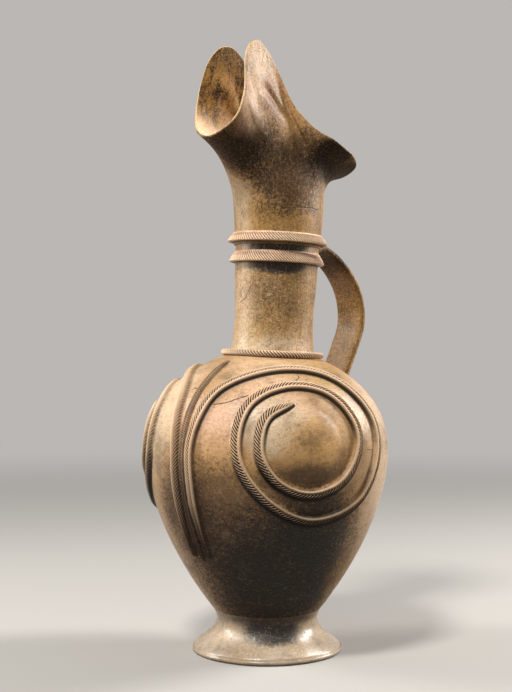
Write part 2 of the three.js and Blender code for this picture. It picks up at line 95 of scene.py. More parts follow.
# Handle
HANDLE_WIDTH = 29.6
HANDLE_THICKNESS = 6.4
HANDLE_REACH = 96.0
HANDLE_ROOT_BELOW = 4.0
HANDLE_BEND_BELOW = 59.0
HANDLE_FOOT_RADIUS = 74.5

# Ridges, cord and relief
RIDGE_REACH = 4.7
UPPER_RIDGE_HEIGHT = 7.0
LOWER_RIDGE_HEIGHT = 8.4
UPPER_RIDGE_BELOW = 3.0
RIDGE_SPACING = 15.8
COLLAR_HEIGHT = 4.2
RELIEF_TURN = math.radians(5.5)
SPIRAL_TURN = math.radians(57.5)
SPIRAL_HEIGHT = CROWN_HEIGHT - 65.6
SPIRAL_START = math.radians(98)
SPIRAL_STEP = math.radians(45)
SPIRAL_INNER_RADIUS = 31.2
STEM_HALF_WIDTH = 8.2
STEM_RISE = 19.0
STEM_BOTTOM = FOOT_HEIGHT + 51.4


# ---- Node trees -----------------------------------------------------------


class Value:
    """A socket of a node tree that takes part in ordinary arithmetic."""

    def __init__(self, tree, socket):
        self.tree = tree
        self.socket = socket

    def is_vector(self):
        return self.socket.type in ("VECTOR", "RGBA")

    def math(self, operation, *others, clamp=False):
        sockets = [self, *others]
        return add(self.tree, "ShaderNodeMath", sockets, operation=operation, use_clamp=clamp)

    def vector(self, operation, *others, scale=None, out=0):
        sockets = dict(enumerate([self, *others]))
        if scale is not None:
            sockets["Scale"] = scale
        return add(self.tree, "ShaderNodeVectorMath", sockets, out, operation=operation)

    def either(self, operation, other):
        return (self.vector if self.is_vector() else self.math)(operation, other)

    def __add__(self, other):
        return self.either("ADD", other)

    __radd__ = __add__

    def __sub__(self, other):
        return self.either("SUBTRACT", other)

    def __rsub__(self, other):
        return add(self.tree, "ShaderNodeMath", [other, self], operation="SUBTRACT")

    def __mul__(self, other):
        if isinstance(other, tuple) or not self.is_vector():
            return self.either("MULTIPLY", other)
        return self.vector("SCALE", scale=other)

    __rmul__ = __mul__

    def __truediv__(self, other):
        return self.math("DIVIDE", other)

    def length(self):
        return self.vector("LENGTH", out="Value")

    def step(self, low, high):
        """0 below low, 1 above high, smooth between; low above high turns it round."""
        low_first = low <= high
        sockets = {
            "Value": self,
            "From Min": low if low_first else high,
            "From Max": high if low_first else low,
            "To Min": 0.0 if low_first else 1.0,
            "To Max": 1.0 if low_first else 0.0,
        }
        return add(self.tree, "ShaderNodeMapRange", sockets, interpolation_type="SMOOTHSTEP")

    def parts(self):
        node = add(self.tree, "ShaderNodeSeparateXYZ", [self]).socket.node
        return [Value(self.tree, socket) for socket in node.outputs]


def add(tree, kind, sockets=(), out=0, **settings):
    """One output of a new node with these settings and these values or links in its sockets."""
    node = tree.nodes.new(kind)
    for key, setting in settings.items():
        setattr(node, key, setting)
    pairs = sockets.items() if isinstance(sockets, dict) else enumerate(sockets)
    for key, value in pairs:
        if isinstance(value, Value):
            tree.links.new(value.socket, node.inputs[key])
        else:
            node.inputs[key].default_value = value
    return Value(tree, node.outputs[out])


def join_vector(x, y, z):
    return add(x.tree, "ShaderNodeCombineXYZ", [x, y, z])


# ---- Meshes ---------------------------------------------------------------


def points_mesh(name, points, closed):
    """Edges through points given in millimetres, for a node tree to build on."""
    edges = [(i, i + 1) for i in range(len(points) - 1)]
    if closed:
        edges.append((len(points) - 1, 0))
    mesh = bpy.data.meshes.new(name)
    mesh.from_pydata([Vector(p) * MM for p in points], edges, [])
    return mesh


def new_object(name, data):
    made = bpy.data.objects.new(name, data)
    bpy.context.scene.collection.objects.link(made)
    return made


def discard(helper):
    """Takes an object that only helped to build another out of the scene."""
    mesh = helper.data
    bpy.data.objects.remove(helper)
    bpy.data.meshes.remove(mesh)


def grown(name, mesh, tree, settings):
    """The plain mesh that a node tree makes of a starting mesh."""
    start = new_object(name + "_start", mesh)
    modifier = start.modifiers.new("tree", "NODES")
    modifier.node_group = tree
    for item in tree.interface.items_tree:
        if item.item_type == "SOCKET" and item.in_out == "INPUT" and item.name in settings:
            modifier[item.identifier] = settings[item.name]
    bpy.context.view_layer.update()
    depsgraph = bpy.context.evaluated_depsgraph_get()
    result = bpy.data.meshes.new_from_object(
        start.evaluated_get(depsgraph), preserve_all_data_layers=True, depsgraph=depsgraph
    )
    start.modifiers.remove(modifier)
    discard(start)
    result.name = name
    return result


def vertex_rows(mesh, kind="co"):
    """Coordinates or normals of a mesh's points, one row each."""
    values = np.zeros(len(mesh.vertices) * 3)
    mesh.vertices.foreach_get(kind, values)
    return values.reshape(-1, 3)


def volume(mesh):
    mesh.calc_loop_triangles()
    index = np.zeros(len(mesh.loop_triangles) * 3, dtype=np.int64)
    mesh.loop_triangles.foreach_get("vertices", index)
    points = vertex_rows(mesh)
    a, b, c = (points[index.reshape(-1, 3)[:, k]] for k in range(3))
    return float(np.einsum("ij,ij->i", a, np.cross(b, c)).sum()) / 6


def finished(name, mesh, material, replaced, crease=50):
    """The object of a finished piece, which faces outwards and stands for its node."""
    if volume(mesh) < 0:
        mesh.flip_normals()
    mesh.shade_smooth()
    mesh.set_sharp_from_angle(angle=math.radians(crease))
    mesh.materials.clear()
    mesh.materials.append(material)
    piece = new_object(name, mesh)
    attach(piece, BODY)
    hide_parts(replaced)
    return piece


def grid_mesh(name, grid, closed, caps=()):
    """Mesh of a grid of points in mm; closed says for each of its two indices if it runs round."""
    rows, columns = grid.shape[:2]
    ends = [np.arange(size - 1 + shut) for size, shut in zip((rows, columns), closed)]
    i, j = np.meshgrid(*ends, indexing="ij")
    next_i, next_j = (i + 1) % rows, (j + 1) % columns
    corners = [a * columns + b for a, b in ((i, j), (next_i, j), (next_i, next_j), (i, next_j))]
    faces = np.stack(corners, -1).reshape(-1, 4).tolist()
    mesh = bpy.data.meshes.new(name)
    mesh.from_pydata((grid.reshape(-1, 3) * MM).tolist(), [], [*faces, *caps])
    return mesh


# ---- Shapes ---------------------------------------------------------------


def bend(points, steps):
    """Cubic curve with two end points and two handles, sampled evenly."""
    a, b, c, d = np.array(points, float)
    t = np.linspace(0, 1, steps + 1)[:, None]
    return (1 - t) ** 3 * a + 3 * (1 - t) ** 2 * t * b + 3 * (1 - t) * t**2 * c + t**3 * d


def mix(a, b, share):
    return a + (b - a) * share


def unit(rows):
    return rows / np.linalg.norm(rows, axis=-1, keepdims=True)


def inset(points, distance):
    """Points of an outline moved along its own normal."""
    run = unit(np.gradient(points, axis=0))
    return points + np.stack([-run[:, 1], run[:, 0]], 1) * distance


def neck_matrix():
    lean_direction = Vector((math.cos(NECK_LEAN_TURN), math.sin(NECK_LEAN_TURN), 0))
    axis = Vector((0, 0, 1)).cross(lean_direction)
    place = lean_direction * NECK_OFFSET + Vector((0, 0, CROWN_HEIGHT))
    return Matrix.Translation(place * MM) @ Matrix.Rotation(NECK_LEAN, 4, axis)


NECK = neck_matrix()


def body_outer(steps):
    waist = FOOT_WAIST_RADIUS + GAP
    rise = CROWN_HEIGHT + 1.3
    arm = 0.3 * BODY_RADIUS
    lower = bend([
        (waist, FOOT_HEIGHT),
        (waist + 1.3, FOOT_HEIGHT + 1),
        (BODY_RADIUS, WIDEST_HEIGHT - 0.48 * BODY_WIDEST_ABOVE),
        (BODY_RADIUS, WIDEST_HEIGHT),
    ], steps)
    arm_out, arm_down = arm * math.cos(BODY_CROWN_SLOPE), arm * math.sin(BODY_CROWN_SLOPE)
    upper = bend([
        (BODY_RADIUS, WIDEST_HEIGHT),
        (BODY_RADIUS, WIDEST_HEIGHT + 0.6 * (rise - WIDEST_HEIGHT)),
        (BODY_CROWN_RADIUS + arm_out, rise - arm_down),
        (BODY_CROWN_RADIUS, rise),
    ], steps)
    return np.vstack([lower, upper[1:]])


OUTER = body_outer(90)


def body_radius_at(height):
    return np.interp(height, OUTER[:, 1], OUTER[:, 0])


def shoulder_height_at(radius):
    upper = OUTER[OUTER[:, 1] >= WIDEST_HEIGHT][::-1]
    return float(np.interp(radius, upper[:, 0], upper[:, 1]))


def body_point(turn, height):
    radius = body_radius_at(height)
    return (-radius * math.cos(turn), -radius * math.sin(turn), height)


def neck_radius_at(height):
    below = np.clip((NECK_WAIST_ABOVE - height) / NECK_WAIST_ABOVE, 0, 1)
    above = np.clip((height - NECK_WAIST_ABOVE) / (NECK_LENGTH - NECK_WAIST_ABOVE), 0, 1)
    flare = (NECK_BASE_RADIUS - NECK_WAIST_RADIUS) * below**2
    swell = (NECK_TOP_RADIUS - NECK_WAIST_RADIUS) * above * (2 - above)
    return NECK_WAIST_RADIUS + flare + swell


# ---- Geometry Nodes: a hand-built wall, and a strip laid on it ------------


def tree_with(name, inputs):
    """A tree with geometry in and out; each input is given by its default or by its kind."""
    tree = bpy.data.node_groups.new(name, "GeometryNodeTree")
    for label, default in {"Geometry": "Geometry", **inputs}.items():
        kind = {int: "Int", float: "Float"}.get(type(default), default)
        socket = tree.interface.new_socket(label, in_out="INPUT", socket_type="NodeSocket" + kind)
        if kind != default:
            socket.default_value = default
    tree.interface.new_socket("Geometry", in_out="OUTPUT", socket_type="NodeSocketGeometry")
    start = tree.nodes.new("NodeGroupInput")
    given = {socket.name: Value(tree, socket) for socket in start.outputs if socket.name}
    return tree, given


def end_tree(tree, geometry, material):
    sockets = {"Geometry": geometry, "Distance": WELD}
    welded = add(tree, "GeometryNodeMergeByDistance", sockets)
    realized = add(tree, "GeometryNodeRealizeInstances", [welded])
    sockets = {"Geometry": realized, "Material": material}
    painted = add(tree, "GeometryNodeSetMaterial", sockets)
    end = tree.nodes.new("NodeGroupOutput")
    tree.links.new(painted.socket, end.inputs[0])


def grid_along(tree, outline, columns, more_rows, nudge):
    """A grid, each point's column, and the parts of the outline's point for each point's row."""
    kind = "GeometryNodeAttributeDomainSize"
    count = add(tree, kind, [outline], "Point Count", component="MESH")
    rows = count + more_rows
    sockets = {"Size X": 1.0, "Size Y": 1.0, "Vertices X": columns + 1, "Vertices Y": rows}
    grid = add(tree, "GeometryNodeMeshGrid", sockets, "Mesh")
    index = add(tree, "GeometryNodeInputIndex")
    column = (index / rows + nudge).math("FLOOR")
    row = (index - column * rows).math("MODULO", count)
    spot = add(tree, "GeometryNodeInputPosition")
    sockets = {"Geometry": outline, "Value": spot, "Index": row}
    point = add(tree, "GeometryNodeSampleIndex", sockets, data_type="FLOAT_VECTOR", domain="POINT")
    return grid, column, point.parts()


def moved_to(tree, grid, position):
    return add(tree, "GeometryNodeSetPosition", {"Geometry": grid, "Position": position})


def wall_tree():
    """An outline turned round the upright axis, uneven like a wall built up by hand."""
    tree, given = tree_with("hand_built_wall", {
        "Columns": 200, "Loop": 0, "Unevenness": 0.0, "Lump Size": 0.05, "Seed": 0.0,
        "Clay": "Material",
    })
    grid, column, (radius, _, height) = grid_along(
        tree, given["Geometry"], given["Columns"], given["Loop"], nudge=1e-4
    )
    angle = column / given["Columns"] * FULL_TURN
    cosine = angle.math("COSINE")
    sine = angle.math("SINE")
    reach = given["Lump Size"]
    around = [part * BODY_RADIUS * MM / reach for part in (cosine, sine)]
    place = join_vector(*around, height / reach)
    sockets = {"Vector": place, "W": given["Seed"], "Scale": 1.0, "Detail": 2.0}
    lumps = add(tree, "ShaderNodeTexNoise", sockets, noise_dimensions="4D")
    off_axis = radius.step(0.0, 0.02)
    built = radius + (lumps - 0.5) * 2 * given["Unevenness"] * off_axis
    position = join_vector(built * cosine, built * sine, height)
    end_tree(tree, moved_to(tree, grid, position), given["Clay"])
    return tree


# How a laid strip swells from its ends, and how its strokes wander and fray
SWELL_POWER = 0.7
STROKE_POWER = 1.3
STROKE_WOBBLE = 1.8
# Over this length, in metres, strokes fade at the inner and the outer edge of their band
INNER_FADE = 0.0004
OUTER_FADE = 0.0006


def strip_tree():
    """A strip of clay laid along a path on another piece's surface, with slanting notches.

    It leaves four attributes for the shader: groove, how far inside a notch; lift, the height
    over the surface in mm; off, the place across the strip in mm; down, how far it looks down,
    where the shader paints shade.
    """
    tree, given = tree_with("laid_strip", {
        "Under": "Object", "Section": "Object", "Steps": 400, "Side": 1.0, "Open": 1.0,
        "Start Run": 0.05, "Start Size": 0.15, "End Run": 0.06, "End Size": 0.4,
        "Notches": 100.0, "Notch Depth": 0.0008, "Ink": 1.0, "Slant": 0.5,
        "Notch From": 0.0, "Notch To": 0.006, "Fray": 0.0, "Wander": 0.0002, "Seed": 0.0,
        "Clay": "Material",
    })

    def shape_of(key):
        kind = "GeometryNodeObjectInfo"
        return add(tree, kind, [given[key]], "Geometry", transform_space="ORIGINAL")

    def on_surface(value, where):
        sockets = {"Mesh": under, "Value": value, "Sample Position": where}
        return add(tree, "GeometryNodeSampleNearestSurface", sockets, data_type="FLOAT_VECTOR")

    def noise_along(way, seed_step, detail):
        place = join_vector(way, given["Seed"] + seed_step, 0.0)
        sockets = {"Vector": place, "Scale": 1.0, "Detail": detail}
        return add(tree, "ShaderNodeTexNoise", sockets)

    def swollen(from_end, end):
        share = (from_end / given[end + " Run"]).math("MINIMUM", 1.0)
        return given[end + " Size"] + (1 - given[end + " Size"]) * share.math("POWER", SWELL_POWER)

    path = add(tree, "GeometryNodeMeshToCurve", [given["Geometry"]])
    total = add(tree, "GeometryNodeCurveLength", [path])
    under = shape_of("Under")
    steps = given["Steps"]
    grid, column, (offset, _, lift) = grid_along(tree, shape_of("Section"), steps, 1, nudge=1e-5)
    share = column / steps

    sockets = {"Curves": path, "Factor": share}
    kinds = {"data_type": "FLOAT_VECTOR", "mode": "FACTOR"}
    middle = add(tree, "GeometryNodeSampleCurve", sockets, "Position", **kinds)
    tangent = Value(tree, middle.socket.node.outputs["Tangent"])
    kind = "GeometryNodeInputNamedAttribute"
    lie = add(tree, kind, {"Name": "lie"}, data_type="FLOAT_VECTOR")
    across = tangent.vector("CROSS_PRODUCT", on_surface(lie, middle)).vector("NORMALIZE")
    across = across * given["Side"]

    size = swollen(share, "Start").math("MINIMUM", swollen(1 - share, "End"))
    last = column.math("COMPARE", 0.0, 0.5) + column.math("COMPARE", steps, 0.5)
    size = size * (1 - last * given["Open"])

    run = share * given["Notches"]
    wobble = noise_along(run * 0.11, 0, 1.0)
    phase = run + offset * given["Slant"] + (wobble - 0.5) * STROKE_WOBBLE * given["Open"]
    wave = (phase * FULL_TURN).math("COSINE") * 0.5 + 0.5
    fray = noise_along(run * 0.9, 3, 1.0)
    band = (offset - given["Notch From"]) / INNER_FADE
    far_band = (given["Notch To"] - offset - (fray - 0.4) * given["Fray"]) / OUTER_FADE
    band = band.math("MINIMUM", far_band, clamp=True)
    groove = wave.math("POWER", STROKE_POWER) * band * size
    lift = lift - groove * given["Notch Depth"] * (fray + 0.5)

    wander = noise_along(share * total * 90, 7, 2.0)
    drift = (wander - 0.5) * 2 * given["Wander"] * given["Open"]
    at = middle + across * (offset * size + drift)
    base = on_surface(add(tree, "GeometryNodeInputPosition"), at)
    normal = on_surface(lie, at).vector("NORMALIZE")
    height = lift * size * (0.92 + 0.16 * wander)
    marked = moved_to(tree, grid, base + normal * height)
    lower_half = (offset * -800).math("MINIMUM", 1.0).math("MAXIMUM", -1.0)
    kinds = {"data_type": "FLOAT", "domain": "POINT"}
    for label, value in {
        "groove": groove * given["Ink"],
        "lift": height * TO_MM,
        "off": offset * size * TO_MM,
        "down": across.parts()[2] * lower_half,
    }.items():
        sockets = {"Geometry": marked, "Name": label, "Value": value}
        marked = add(tree, "GeometryNodeStoreNamedAttribute", sockets, **kinds)
    end_tree(tree, marked, given["Clay"])
    return tree


WALL = wall_tree()
STRIP = strip_tree()


# ---- Clay finishes --------------------------------------------------------


def tone(red, green, blue):
    """A colour as seen on screen, 0 to 255, as the shader takes it."""
    linear = []
    for part in (red, green, blue):
        s = part / 255
        linear.append(s / 12.92 if s <= 0.04045 else ((s + 0.055) / 1.055) ** 2.4)
    return (*linear, 1.0)


BUFF = tone(168, 129, 82)
WARM_BUFF = tone(194, 153, 108)
PINK_BUFF = tone(228, 185, 154)
PALE_BUFF = tone(222, 197, 164)
OLIVE = tone(148, 114, 60)
YELLOW_OLIVE = tone(172, 133, 75)
BROWN = tone(96, 70, 48)
DARK_BROWN = tone(62, 44, 32)
# The darkest black: fire blackening in the fire clouds, and painted shade and shadow under ridges,
# flange, coils, handle and foot, and on the relief
BLACKENED_AND_SHADE = tone(9, 7, 6)
ASH = tone(182, 165, 145)
ASHY_BUFF = tone(160, 138, 111)
GOLDEN_BUFF = tone(208, 162, 104)
RED_BROWN = tone(138, 88, 60)
# A pale tone painted as highlight on raised crests and down the lit right side of the body
CREST_HIGHLIGHT = tone(224, 193, 160)
HATCH = tone(120, 90, 66)
GROOVE = tone(34, 24, 18)
SOOT = tone(40, 29, 21)
PALE_GRIT = tone(222, 196, 160)
OCHRE_GRIT = tone(192, 150, 98)
DUST_GRIT = tone(150, 128, 102)
CRACK = tone(38, 26, 20)
INSIDE_DARK = tone(56, 40, 24)
INSIDE_OLIVE = tone(158, 118, 62)
INSIDE_PALE = tone(220, 190, 158)

# Noises of the clay: scale for each mm, detail, roughness and seed
NOISES = {
    "warp": (0.035, 3.0, 0.55, 3.1),
    "fine_warp": (0.16, 5.0, 0.65, 8.2),
    "mottle": (0.42, 4.0, 0.65, 7.3),
    "grit": (0.8, 4.0, 0.75, 2.2),
    "cloud": (0.021, 3.0, 0.55, 1.7),
    "stain": (0.055, 6.0, 0.6, 5.5),
    "strokes": (0.8, 3.0, 0.6, 6.4),
    "trail": (0.07, 2.0, 0.55, 9.9),
    "drips": (0.16, 6.0, 0.7, 4.8),
}
GREY = (0.5, 0.5, 0.5)
# How far, in mm, the two warping noises bend the patches
BEND = 26
FINE_BEND = 14
# Patches lower than this, in mm, are bent less by the noise, in proportion
FULL_BEND = 22
# Heights in the neck's frame between which the inside of the beak turns from pale to olive
INSIDE_LIP = (198, 170)
INSIDE_TOP = (215, 235)
# What the dark patches, soot and painted shade alike, and the unburnished inside add to the
# roughness
MATTE = 0.3
# Cracks: mm of the unrolled wall for each degree, then the line's width and its bending in mm
CRACK_ARC = 1.5
CRACK_WIDTH = 0.55
CRACK_BEND = 3.2
# Across a laid strip, in mm: where its thin skirts end, where their painted shadow is full, how
# high they are, and between which places the band with the strokes comes and goes
SKIRT_INNER = -4.8
SKIRT_OUTER = 7.4
SHADOW_INNER = -3.5
SHADOW_OUTER = 5.9
SKIRT_LIFT = 0.08
BAND_INNER = (-0.6, 0.2)
BAND_OUTER = (6.0, 5.4)
# Heights, in mm, between which the painted highlight on the crests grows upwards and the bands turn
# darker downwards
CRESTS_PALER = (90, 150)
BANDS_DARKER = (165, 95)
BUMP = {"Strength": 0.4, "Distance": 0.0004}


def new_material(name):
    material = bpy.data.materials.new(name)
    material.use_nodes = True
    material.node_tree.nodes.clear()
    return material, material.node_tree


def end_material(tree, shader):
    output = tree.nodes.new("ShaderNodeOutputMaterial")
    tree.links.new(shader.socket, output.inputs["Surface"])


def mixed(low, high, factor):
    sockets = {0: factor, 6: low, 7: high}
    return add(factor.tree, "ShaderNodeMix", sockets, 2, data_type="RGBA")


def coated(colour, coats):
    """The colour under coats, each a shade and where it covers."""
    for shade, cover in coats:
        colour = mixed(colour, shade, cover)
    return colour


def noise_at(place, kind, distortion=0.0, out=0):
    scale, detail, roughness, seed = NOISES[kind]
    sockets = {
        "Vector": place, "W": seed, "Scale": scale, "Detail": detail,
        "Roughness": roughness, "Distortion": distortion,
    }
    return add(place.tree, "ShaderNodeTexNoise", sockets, out, noise_dimensions="4D")


def stored(tree, name):
    return add(tree, "ShaderNodeAttribute", out="Fac", attribute_name=name)


def place_in(tree, matrix):
    """The object's own coordinates in mm, in the frame of the matrix where there is one."""
    place = add(tree, "ShaderNodeTexCoord", out="Object") * TO_MM
    if matrix is None:
        return place
    back = matrix.inverted()
    sockets = {
        "Vector": place,
        "Location": tuple(back.translation * TO_MM),
        "Rotation": tuple(back.to_euler()),
    }
    return add(tree, "ShaderNodeMapping", sockets, vector_type="POINT")


def crack_mask(unrolled, cracks):
    """1 on a hairline through each crack's points, given as turn in degrees and height in mm."""
    mask = None
    for line in cracks:
        for (turn_a, height_a), (turn_b, height_b) in zip(line, line[1:]):
            start = Vector((turn_a * CRACK_ARC, height_a, 0))
            run = Vector((turn_b * CRACK_ARC, height_b, 0)) - start
            away = unrolled - tuple(start)
            along = away.vector("DOT_PRODUCT", tuple(run), out="Value")
            along = along.math("DIVIDE", run.length_squared, clamp=True)
            sockets = {0: tuple(run), "Scale": along}
            near = add(away.tree, "ShaderNodeVectorMath", sockets, operation="SCALE")
            hit = (away - near).length().step(CRACK_WIDTH, 0.35 * CRACK_WIDTH)
            mask = hit if mask is None else mask.math("MAXIMUM", hit)
    return mask


def patched(colour, place, bend_by, frayed, patches):
    """The colour under blended patches with frayed edges, and where the dark ones, soot and painted
    shade alike, are matt.
    """
    matte = 0.0
    for centre, reach, rise, shade, strength, soft in patches:
        unrest = min(1.0, rise / FULL_BEND)
        scaled = (place + bend_by * unrest - centre) * (1 / reach, 1 / reach, 1 / rise)
        mask = (scaled.length() + frayed * unrest).step(1 + soft, 1 - soft) * strength
        colour = mixed(colour, shade, mask)
        if shade in (DARK_BROWN, BLACKENED_AND_SHADE):
            matte = mask.math("MAXIMUM", matte)
    return colour, matte


def inside_colour(place, z, warp, mottle, dark_specks, pale_specks):
    """Olive and brown runs down the inside of the beak, pale towards its lip."""
    drips = noise_at(place * (1.0, 1.0, 0.3), "drips")
    return coated(INSIDE_DARK, [
        (INSIDE_OLIVE, (drips * 0.75 + mottle * 0.25).step(0.43, 0.55)),
        (INSIDE_DARK, z.step(*INSIDE_TOP) * 0.6),
        (INSIDE_PALE, (z + warp.parts()[0] * 30).step(*INSIDE_LIP)),
        (SOOT, dark_specks * 0.5 + mottle.step(0.5, 0.3) * 0.3),
        (OCHRE_GRIT, pale_specks * 0.5),
    ])


def relief_coats(z):
    """Pale crests as painted highlight, painted shade on the lower sides and skirts, and the dark
    strokes in the notches, painted as shade, of what is laid on.
    """
    groove, lift, off, down = (stored(z.tree, key) for key in ("groove", "lift", "off", "down"))
    band_in, band_out = off.step(*BAND_INNER), off.step(*BAND_OUTER)
    # Painted shade where the strip looks down, a little on its inner side too, fading out over its
    # skirts
    shaded = (down + off.step(0.0, -2.0) * 0.35).step(0.0, 0.7)
    shaded = shaded * off.step(SKIRT_OUTER, SHADOW_OUTER) * off.step(SKIRT_INNER, SHADOW_INNER)
    crest = z.step(*CRESTS_PALER) * 0.45 + 0.25
    return [
        (HATCH, band_in * band_out * 0.35),
        # The bands turn darker downwards
        (GROOVE, z.step(*BANDS_DARKER) * band_in * band_out * 0.6),
        # Painted highlight on the crests, stronger towards the top
        (CREST_HIGHLIGHT, lift.step(2.0, 3.3) * (1 - groove) * crest),
        # Painted shade on the sides that look down, and on the skirts
        (BLACKENED_AND_SHADE, shaded * lift.step(3.5, 1.4) * 0.95),
        (BLACKENED_AND_SHADE, shaded * off.step(0.0, 2.5) * 0.6),
        # Painted shade in the notches
        (GROOVE, groove.step(0.25, 0.75) * 0.95),
    ]


def clay(name, ground, patches, cracks=(), streak=(1.0, 1.0, 0.14), speckle=0.5, matrix=None,
         relief=False, inside=False, sheen=0.36, gloss=0.34, fleck=PALE_GRIT,
         fleck_from=(0.55, 0.64)):
    """Burnished fired clay: ground colours, patches of fire cloud, painted highlight and painted
    shade, stains, grit, strokes and hairlines.
    """
    material, tree = new_material(name)
    place = place_in(tree, matrix)
    x, y, z = place.parts()

    warp = noise_at(place, "warp", out="Color") - GREY
    fine_warp = noise_at(place, "fine_warp", out="Color") - GREY
    mottle = noise_at(place, "mottle")
    grit = noise_at(place, "grit")
    cloud = noise_at(place, "cloud")
    stain = noise_at(place, "stain")
    strokes = noise_at(place * streak, "strokes")
    trail = noise_at(place + fine_warp * 8, "trail", distortion=0.8)
    scratch = (trail - 0.5).math("ABSOLUTE").step(0.007, 0.002) * stain.step(0.46, 0.54)
    dark_specks = grit.step(0.485, 0.37)
    pale_specks = grit.step(*fleck_from)

    colour = mixed(ground[0], ground[1], cloud.step(0.38, 0.62))
    bend_by = warp * BEND + fine_warp * FINE_BEND
    frayed = (mottle - 0.5) * 1.0 + (grit - 0.5) * 0.8
    colour, matte = patched(colour, place, bend_by, frayed, patches)
    # Fewer specks on the dark patches, the painted shade among them
    calm = 1 - matte * 0.6
    # Each coat starts and ends at two values of its noise, and covers no more than its last number
    colour = coated(colour, [
        (SOOT, stain.step(0.54, 0.3) * 0.5),
        (PALE_GRIT, stain.step(0.57, 0.8) * 0.14),
        (SOOT, mottle.step(0.51, 0.36) * speckle * 0.45),
        (OCHRE_GRIT, mottle.step(0.53, 0.66) * calm * speckle * 0.6),
        (SOOT, strokes.step(0.5, 0.28) * 0.3),
        (PALE_GRIT, strokes.step(0.55, 0.75) * 0.2),
        (SOOT, dark_specks * speckle * 0.7),
        (fleck, pale_specks * calm * speckle * 0.8),
        (fleck, scratch * 0.4),
    ])
    bump_height = strokes * 0.3 + grit * 0.45 + mottle * 0.6 - scratch * 0.8
    rough = sheen + (mottle - 0.5) * 0.3 - (strokes - 0.5) * 0.25
    rough = rough + dark_specks * 0.12 + matte * MATTE
    if inside:
        hollow = stored(tree, "hollow")
        wash = inside_colour(place, z, warp, mottle, dark_specks, pale_specks)
        lip = 1 - ((hollow - 0.5) * 2).math("ABSOLUTE")
        colour = coated(colour, [(wash, hollow), (PALE_GRIT, lip * 0.5)])
        rough = rough + hollow * MATTE
    if relief:
        colour = coated(colour, relief_coats(z))
    if cracks:
        turn = add(tree, "ShaderNodeMath", [y * -1, x * -1], operation="ARCTAN2")
        turn = turn * (math.degrees(1) * CRACK_ARC)
        bent = fine_warp * (CRACK_BEND, CRACK_BEND, 0.0)
        crack = crack_mask(join_vector(turn, z, 0.0) + bent, cracks)
        colour = mixed(colour, CRACK, crack * 0.9)
        bump_height = bump_height - crack * 1.6

    bump = add(tree, "ShaderNodeBump", {**BUMP, "Height": bump_height})
    sockets = {
        "Base Color": colour, "Roughness": rough, "Normal": bump, "Specular IOR Level": gloss,
    }
    end_material(tree, add(tree, "ShaderNodeBsdfPrincipled", sockets))
    return material


def on_body(turn, height):
    return body_point(math.radians(turn), height)


def on_neck(turn, height, radius=33.0):
    angle = math.radians(turn)
    return (-radius * math.cos(angle), -radius * math.sin(angle), height)


# Each patch: its centre, its reach and rise in mm, shade, strength and softness. The centre is
# given by turn in degrees and height in mm in the first two tables
BODY_PATCHES = [(on_body(turn, height), *rest) for turn, height, *rest in (
    (24, 204, 60, 30, PINK_BUFF, 0.8, 0.5),
    (2, 216, 40, 20, OLIVE, 0.65, 0.6),
    (62, 222, 50, 16, PALE_BUFF, 0.3, 0.4),
    (96, 216, 34, 22, OLIVE, 0.6, 0.6),
    (-30, 190, 40, 50, PALE_BUFF, 0.85, 0.4),
    # Painted highlight down the lit right side of the body
    (124, 165, 36, 70, CREST_HIGHLIGHT, 0.85, 0.5),
    (22, 176, 20, 18, PINK_BUFF, 0.75, 0.5),
    (24, 150, 34, 26, GOLDEN_BUFF, 0.7, 0.5),
    # Painted highlight on the upper left of the domed disc
    (50, 184, 28, 22, PALE_BUFF, 0.85, 0.4),
    (66, 168, 22, 22, GOLDEN_BUFF, 0.85, 0.4),
    # Painted shade at the foot of the domed disc, and painted shadow under the coils
    (66, 146, 22, 9, DARK_BROWN, 0.75, 0.5),
    (66, 131, 20, 6, BLACKENED_AND_SHADE, 0.8, 0.5),
    (46, 148, 5, 12, BLACKENED_AND_SHADE, 0.7, 0.6),
    (22, 124, 50, 30, BROWN, 0.8, 0.5),
    (4, 112, 26, 50, DARK_BROWN, 0.8, 0.5),
    # The dark belly and the ground under the outer coil: fire clouding, deepened with painted shade
    (52, 78, 66, 46, DARK_BROWN, 0.85, 0.4),
    (58, 70, 56, 44, BLACKENED_AND_SHADE, 0.97, 0.35),
    (50, 44, 46, 24, BLACKENED_AND_SHADE, 0.95, 0.35),
    (76, 108, 34, 24, BLACKENED_AND_SHADE, 0.85, 0.4),
    (112, 70, 20, 50, BUFF, 0.6, 0.5),
    (-150, 150, 50, 60, WARM_BUFF, 0.5, 0.4),
    (-100, 90, 40, 40, BROWN, 0.6, 0.5),
    (170, 80, 46, 34, DARK_BROWN, 0.6, 0.5),
)]

BODY_CRACKS = [
    [(-6.0, 203.5), (-3.0, 206.6), (-0.3, 209.7), (6.3, 207.7)],
    [(17.2, 197.8), (24.7, 199.5), (32.2, 203.2), (43.7, 208.3)],
    [(67.7, 221.2), (67.9, 217.6), (63.4, 214.7)],
    [(98.2, 163.3), (108.6, 162.1)],
    [(33.1, 124.8), (36.7, 121.9), (40.9, 122.8), (46.0, 119.1)],
    [(91.9, 79.1), (99.5, 68.0), (107.1, 55.9)],
]

NECK_PATCHES = [(on_neck(turn, height), *rest) for turn, height, *rest in (
    (60, 40, 26, 32, OLIVE, 0.7, 0.5),
    (60, 2, 50, 14, PALE_BUFF, 0.95, 0.5),
    # Painted shadow under each ridge: below the lower one and between the two
    (47, 70, 25, 6.2, BLACKENED_AND_SHADE, 0.97, 0.2),
    (47, 84.4, 25, 5.6, BLACKENED_AND_SHADE, 0.97, 0.2),
    (112, 30, 14, 40, BUFF, 0.6, 0.5),
    (-6, 40, 14, 46, PALE_BUFF, 0.4, 0.5),
    (30, 52, 16, 12, BROWN, 0.5, 0.8),
)]

NECK_CRACKS = [
    [(-3.6, 88.4), (-0.9, 82.1)],
    [(13.5, 56.3), (6.8, 50.8), (-1.0, 44.6), (-13.3, 40.7)],
]

